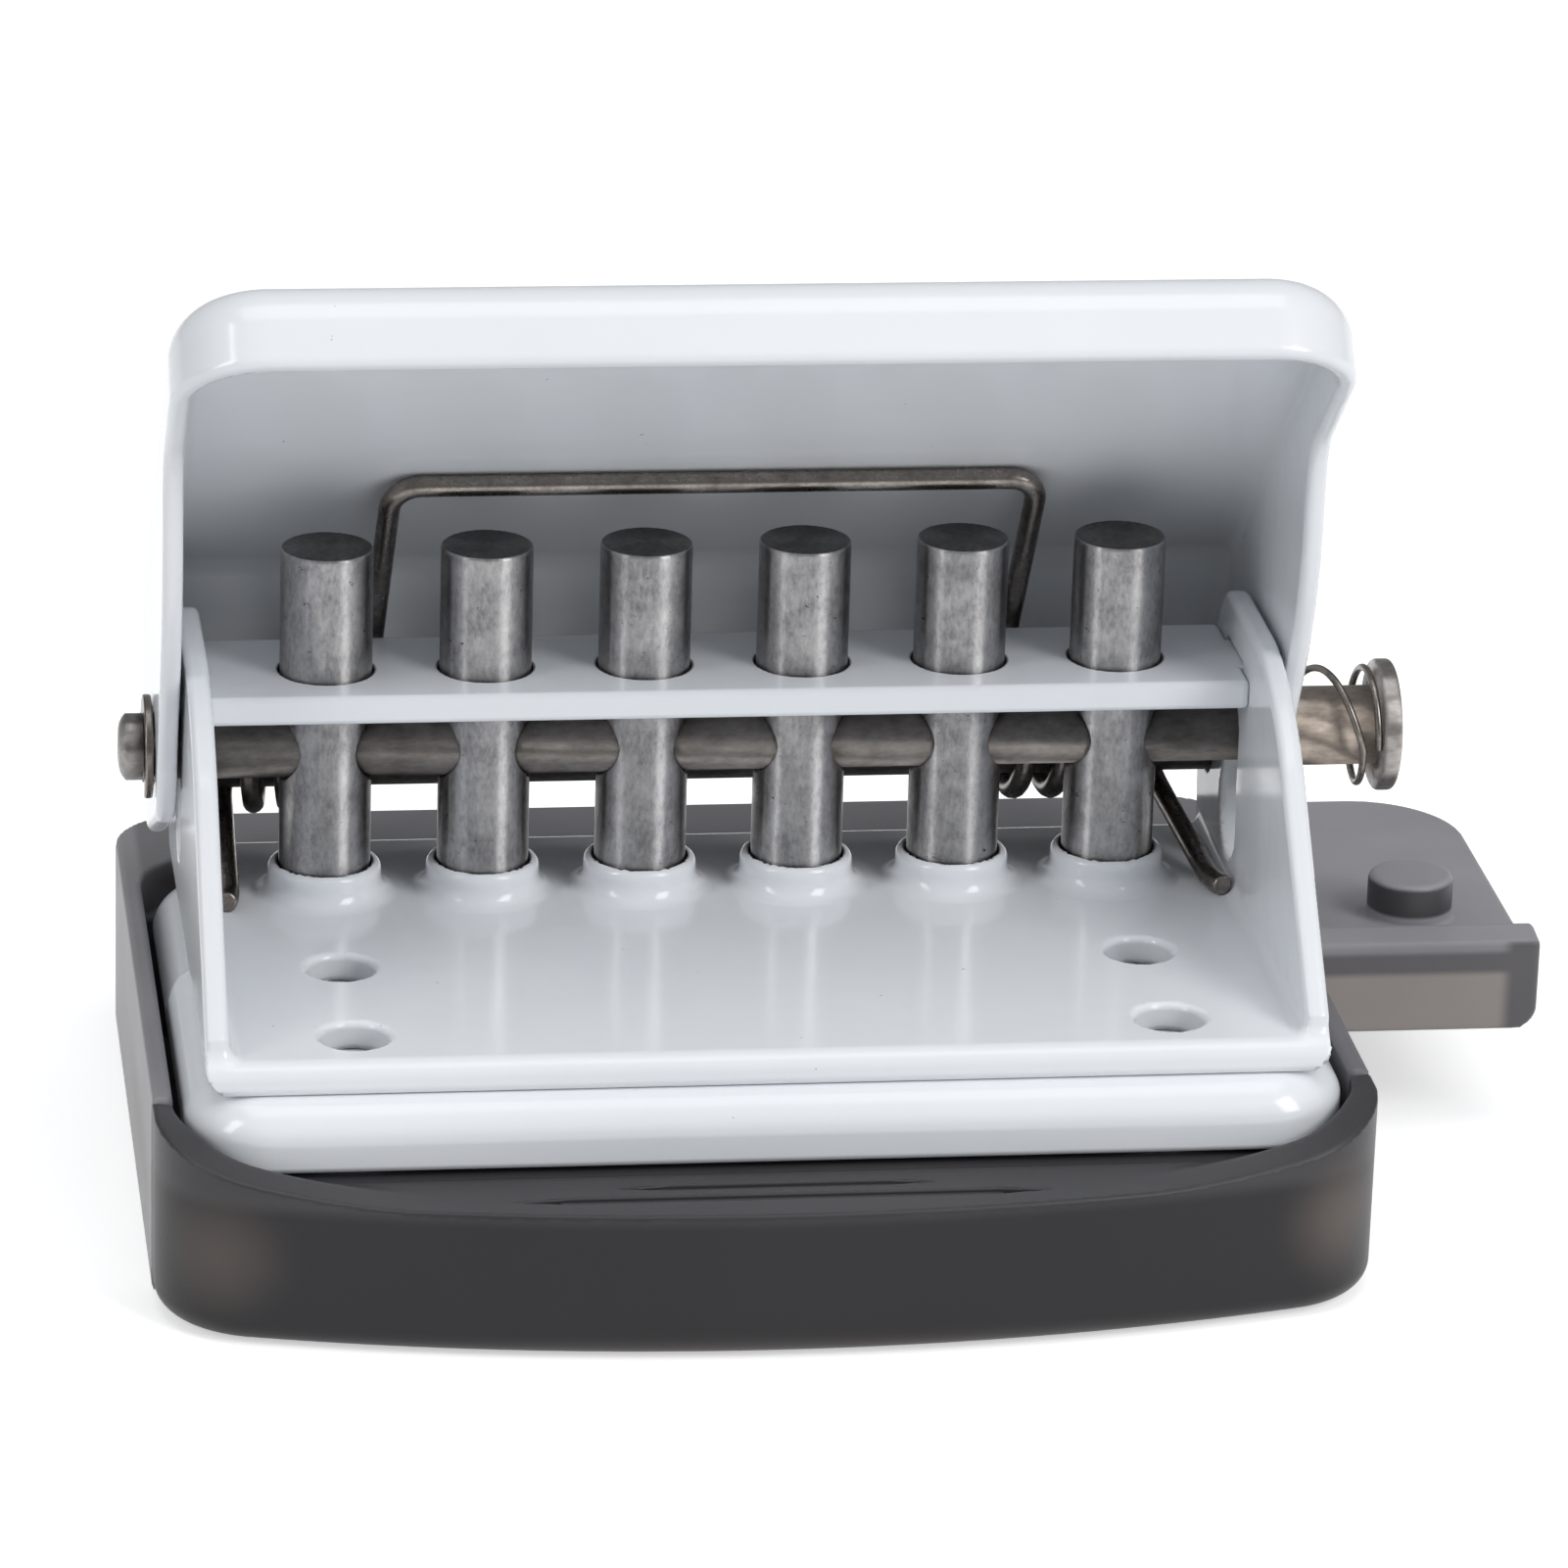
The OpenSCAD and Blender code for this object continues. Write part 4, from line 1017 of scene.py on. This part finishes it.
def chip_drawer_field(x, y, z):
    side = np.abs(x)
    plan = np.maximum(drawer_outline(x, y, 0), y - DRAWER_BACK)
    body = meet(0.3, meet(1.4, plan, DRAWER_BOTTOM - z), z - TABLE_Z)
    rise, slope_foot, slope_run = TABLE_Z - LEDGE_Z, DRAWER_FRONT - 0.1, 5.0
    front = slope(y, z - LEDGE_Z, slope_foot, slope_run, rise)
    flank = slope(side, z - LEDGE_Z, FLANK_X, BASE_HALF - FLANK_X, rise)
    inner = drawer_outline(x, y, DRAWER_RIM)
    above = meet(1.2, join(0.8, inner, join(3.0, front, flank)), LEDGE_Z - z)
    body = cut(0.25, body, above)
    gap = POCKET_HALF - PAN_HALF
    pan_room = meet(PAN_CORNER + gap, side - POCKET_HALF, PAN_FRONT - gap - y)
    body = cut(0.2, body, np.maximum(pan_room, LEDGE_Z - z))
    hollow_z = between(z, DRAWER_BOTTOM + DRAWER_SKIN, LEDGE_Z - DRAWER_SKIN)
    body = np.maximum(body, -np.maximum(drawer_outline(x, y, DRAWER_SKIN), hollow_z))
    groove_depth = 0.4
    for x0, x1, at, w in GRIPS:
        groove = np.maximum(grip_field(x, y, x0, x1, at, w), LEDGE_Z - groove_depth - z)
        body = cut(0.12, body, groove)
    bin_rear, inner_half, open_top = POCKET_REAR - 0.9, BIN_HALF - BASE_T, 20.0
    bin_out = box(0.3, (x, -BIN_HALF, BIN_HALF), (y, DRAWER_BACK - BASE_T, bin_rear), (z, *BIN_Z))
    bin_in = box(0.5, (x, -inner_half, inner_half), (y, DRAWER_BACK - 2 * BASE_T, bin_rear - BASE_T),
                 (z, BIN_Z[0] + BASE_T, open_top))
    return np.minimum(body, np.maximum(bin_out, -bin_in))


NUB_X = 42.75
NUB_D = 5.2
NUB_H = 2.7
INDEX_LEFT = 35.7
INDEX_RIGHT = 49.85
INDEX_FRONT = -5.5
INDEX_REAR = 19.8
INDEX_CORNER = 6.5
INDEX_WALL = 1.4
INDEX_BOTTOM = 6.4
INDEX_LIP_TOP = 12.5
INDEX_LIP_REAR = -2.9
INDEX_LIP_FALL = 0.13
INDEX_LIP_SIDE = 0.8
TONGUE_LEFT = 4.0


def paper_guide_field(x, y, z):
    side_x = INDEX_RIGHT - INDEX_LIP_SIDE

    def plan(inset):
        round_end = meet(INDEX_CORNER - inset, x - side_x + inset, y - INDEX_REAR + inset)
        return np.maximum(np.maximum(round_end, INDEX_LEFT + inset - x), INDEX_FRONT + inset - y)

    head = meet(0.4, plan(0.0), between(z, INDEX_BOTTOM, TABLE_Z))
    hollow = meet(0.4, plan(INDEX_WALL), z - TABLE_Z + INDEX_WALL)
    head = np.maximum(head, -hollow)
    lip_face = np.maximum(meet(1.5, x - INDEX_RIGHT, INDEX_BOTTOM - z), INDEX_LEFT - x)
    lip_top = z - INDEX_LIP_TOP + INDEX_LIP_FALL * (INDEX_LIP_REAR - y)
    wide = np.maximum(y - INDEX_LIP_REAR, TABLE_Z - INDEX_WALL - z)
    lip_plan = np.minimum(y - INDEX_FRONT - INDEX_WALL, wide)
    lip = meet(0.35, lip_face, lip_top, np.maximum(lip_plan, INDEX_FRONT - y))
    nub = meet(0.45, disc(x, y, (NUB_X, 0), NUB_D), between(z, TABLE_Z - 1, TABLE_Z + NUB_H))
    tongue = box(0.2, (x, TONGUE_LEFT, INDEX_LEFT + 1), (y, *TONGUE_Y), (z, *TONGUE_Z))
    return join(0.25, np.minimum(head, lip), np.minimum(nub, tongue))


# Stage
def studio():
    reach = 3000
    corners = [(-reach, -reach, 0), (reach, -reach, 0), (reach, reach, 0), (-reach, reach, 0)]
    floor = placed("floor", mesh_from("floor", corners, [(0, 1, 2, 3)]))
    floor.data.materials.append(floor_white())
    world = bpy.data.worlds.new("studio")
    bpy.context.scene.world = world
    world.use_nodes = True
    background = world.node_tree.nodes["Background"]
    background.inputs["Color"].default_value = (0.93, 0.965, 1, 1)
    background.inputs["Strength"].default_value = 0.29
    panel("light_left", (-0.58, -0.30, 0.42), (0.16, 0.5), 1.35)
    panel("light_right", (0.42, -0.44, 0.42), (0.26, 0.5), 2.5)
    panel("light_top", (0.0, -0.04, 0.80), (0.7, 0.5), 1.9)
    bpy.context.scene.view_settings.view_transform = "Standard"


def floor_white():
    """A pale floor that its own emission lifts to white; the object's shadow stays on it."""
    material, tree, shader = new_material("floor_white")
    shader.inputs["Base Color"].default_value = (0.9, 0.9, 0.9, 1)
    shader.inputs["Roughness"].default_value = 0.9
    shader.inputs["Emission Color"].default_value = (1, 1, 1, 1)
    path = tree.nodes.new("ShaderNodeLightPath")
    seen = path.outputs["Is Camera Ray"]
    for other in ("Is Glossy Ray", "Is Transmission Ray"):
        either = node(tree, "ShaderNodeMath", operation="MAXIMUM")
        tree.links.new(seen, either.inputs[0])
        tree.links.new(path.outputs[other], either.inputs[1])
        seen = either.outputs[0]
    lift = node(tree, "ShaderNodeMath", operation="MULTIPLY")
    lift.inputs[1].default_value = 0.5
    tree.links.new(seen, lift.inputs[0])
    tree.links.new(lift.outputs[0], shader.inputs["Emission Strength"])
    return material


def panel(name, at, size, power):
    data = bpy.data.lights.new(name, "AREA")
    data.shape = "RECTANGLE"
    data.size, data.size_y = size
    data.energy = power
    light = bpy.data.objects.new(name, data)
    bpy.context.scene.collection.objects.link(light)
    light.location = at
    light.rotation_mode = "QUATERNION"
    light.rotation_quaternion = (Vector((0, 0, 0.02)) - light.location).to_track_quat("-Z", "Y")


def camera():
    """The photograph's view of the punch."""
    azimuth, elevation, roll = math.radians(-8.048), math.radians(20.543), math.radians(1.7585)
    back = Vector((math.sin(azimuth) * math.cos(elevation), -math.cos(azimuth) * math.cos(elevation),
                   math.sin(elevation)))
    right = Vector((math.cos(azimuth), math.sin(azimuth), 0))
    up = back.cross(right)
    rolled_right = right * math.cos(roll) + up * math.sin(roll)
    rolled_up = up * math.cos(roll) - right * math.sin(roll)
    data = bpy.data.cameras.new("camera")
    data.sensor_width = 36
    data.lens = 181.12
    made = bpy.data.objects.new("camera", data)
    bpy.context.scene.collection.objects.link(made)
    place = Vector((-58.32, -440.09, 187.80)) * MM
    turn = Matrix((rolled_right, rolled_up, back)).transposed().to_4x4()
    made.matrix_world = Matrix.Translation(place) @ turn
    bpy.context.scene.camera = made


camera()
studio()
WHITE = enamel()
SMOKE = smoke_plastic()
PUNCH = punch_steel()
SHAFT = shaft_steel()
WIRE = steel("spring_steel", [(0.17, 0.15, 0.135), (0.24, 0.215, 0.195), (0.31, 0.28, 0.255)],
             (1, 1, 1), 0.28)[0]
PLATED = steel("plated_steel", [(0.5, 0.49, 0.47), (0.6, 0.59, 0.57), (0.7, 0.69, 0.67)],
               (1, 1, 1), 0.3)[0]

# Each skin takes the corners of the piece, then the step of its grid and the share of triangles it keeps
body_frame = skin("body_frame_pressed", body_frame_field, (-CHEEK_OUT, FLOOR_FRONT, SLOT_TOP),
                  (CHEEK_OUT, ROD_AT[0] + CHEEK_LAND, FLOOR_Z + CHEEK_H))
stand_in(body_frame, "body_frame", "base", WHITE)
guide_plate = skin("guide_plate_pressed", guide_plate_field, (-CHEEK_OUT, GUIDE_Y[0], GUIDE_Z[0]),
                   (CHEEK_OUT, GUIDE_Y[1], GUIDE_Z[1]), 0.25)
stand_in(guide_plate, "guide_plate", "base", WHITE)
base_pan = skin("base_pan_pressed", base_pan_field, (-PAN_HALF, PAN_FRONT, SKIRT_Z),
                (PAN_HALF, PAN_REAR, SLOT_TOP))
stand_in(base_pan, "base_pan", "base", WHITE)
lever = skin("lever_pressed", lever_field, (-LEVER_OUT, -26, 16), (LEVER_OUT, 13.5, 59))
stand_in(lever, "lever", "lever_body", WHITE)
base_shell = skin("base_shell_moulded", base_shell_field, (-BASE_HALF, SEAM_Y, 0),
                  (BASE_HALF, BASE_REAR, TABLE_Z), 0.3, 0.16)
stand_in(base_shell, "base_shell", "base", SMOKE)
chip_drawer = skin("chip_drawer_moulded", chip_drawer_field, (-BASE_HALF, DRAWER_FRONT, DRAWER_BOTTOM),
                   (BASE_HALF, POCKET_REAR, TABLE_Z), 0.25, 0.16)
stand_in(chip_drawer, "chip_drawer", "drawer", SMOKE)
paper_guide = skin("paper_guide_moulded", paper_guide_field, (TONGUE_LEFT, INDEX_FRONT, INDEX_BOTTOM),
                   (INDEX_RIGHT, INDEX_REAR, TABLE_Z + NUB_H), 0.25, 0.2)
stand_in(paper_guide, "paper_guide", "index", SMOKE)
retaining_clip = skin("retaining_clip_stamped", retaining_clip_field,
                      (CLIP_X[0], -CLIP_R, SHAFT_AT[1] - CLIP_R),
                      (CLIP_X[1], CLIP_R, SHAFT_AT[1] + CLIP_R), 0.1, 0.5)
stand_in(retaining_clip, "retaining_clip", "drive_shaft", WIRE)
punches(PUNCH)
stand_in(lock_shaft(), "lock_shaft", "drive_shaft", SHAFT)
stand_in(fulcrum_rod(), "fulcrum_rod", "base", SHAFT)
return_spring(WIRE)
lock_spring(WIRE)
for name in ("die_plate", "die_rivets", "base_screws"):
    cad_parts[name].data.materials.clear()
    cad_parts[name].data.materials.append(PLATED)
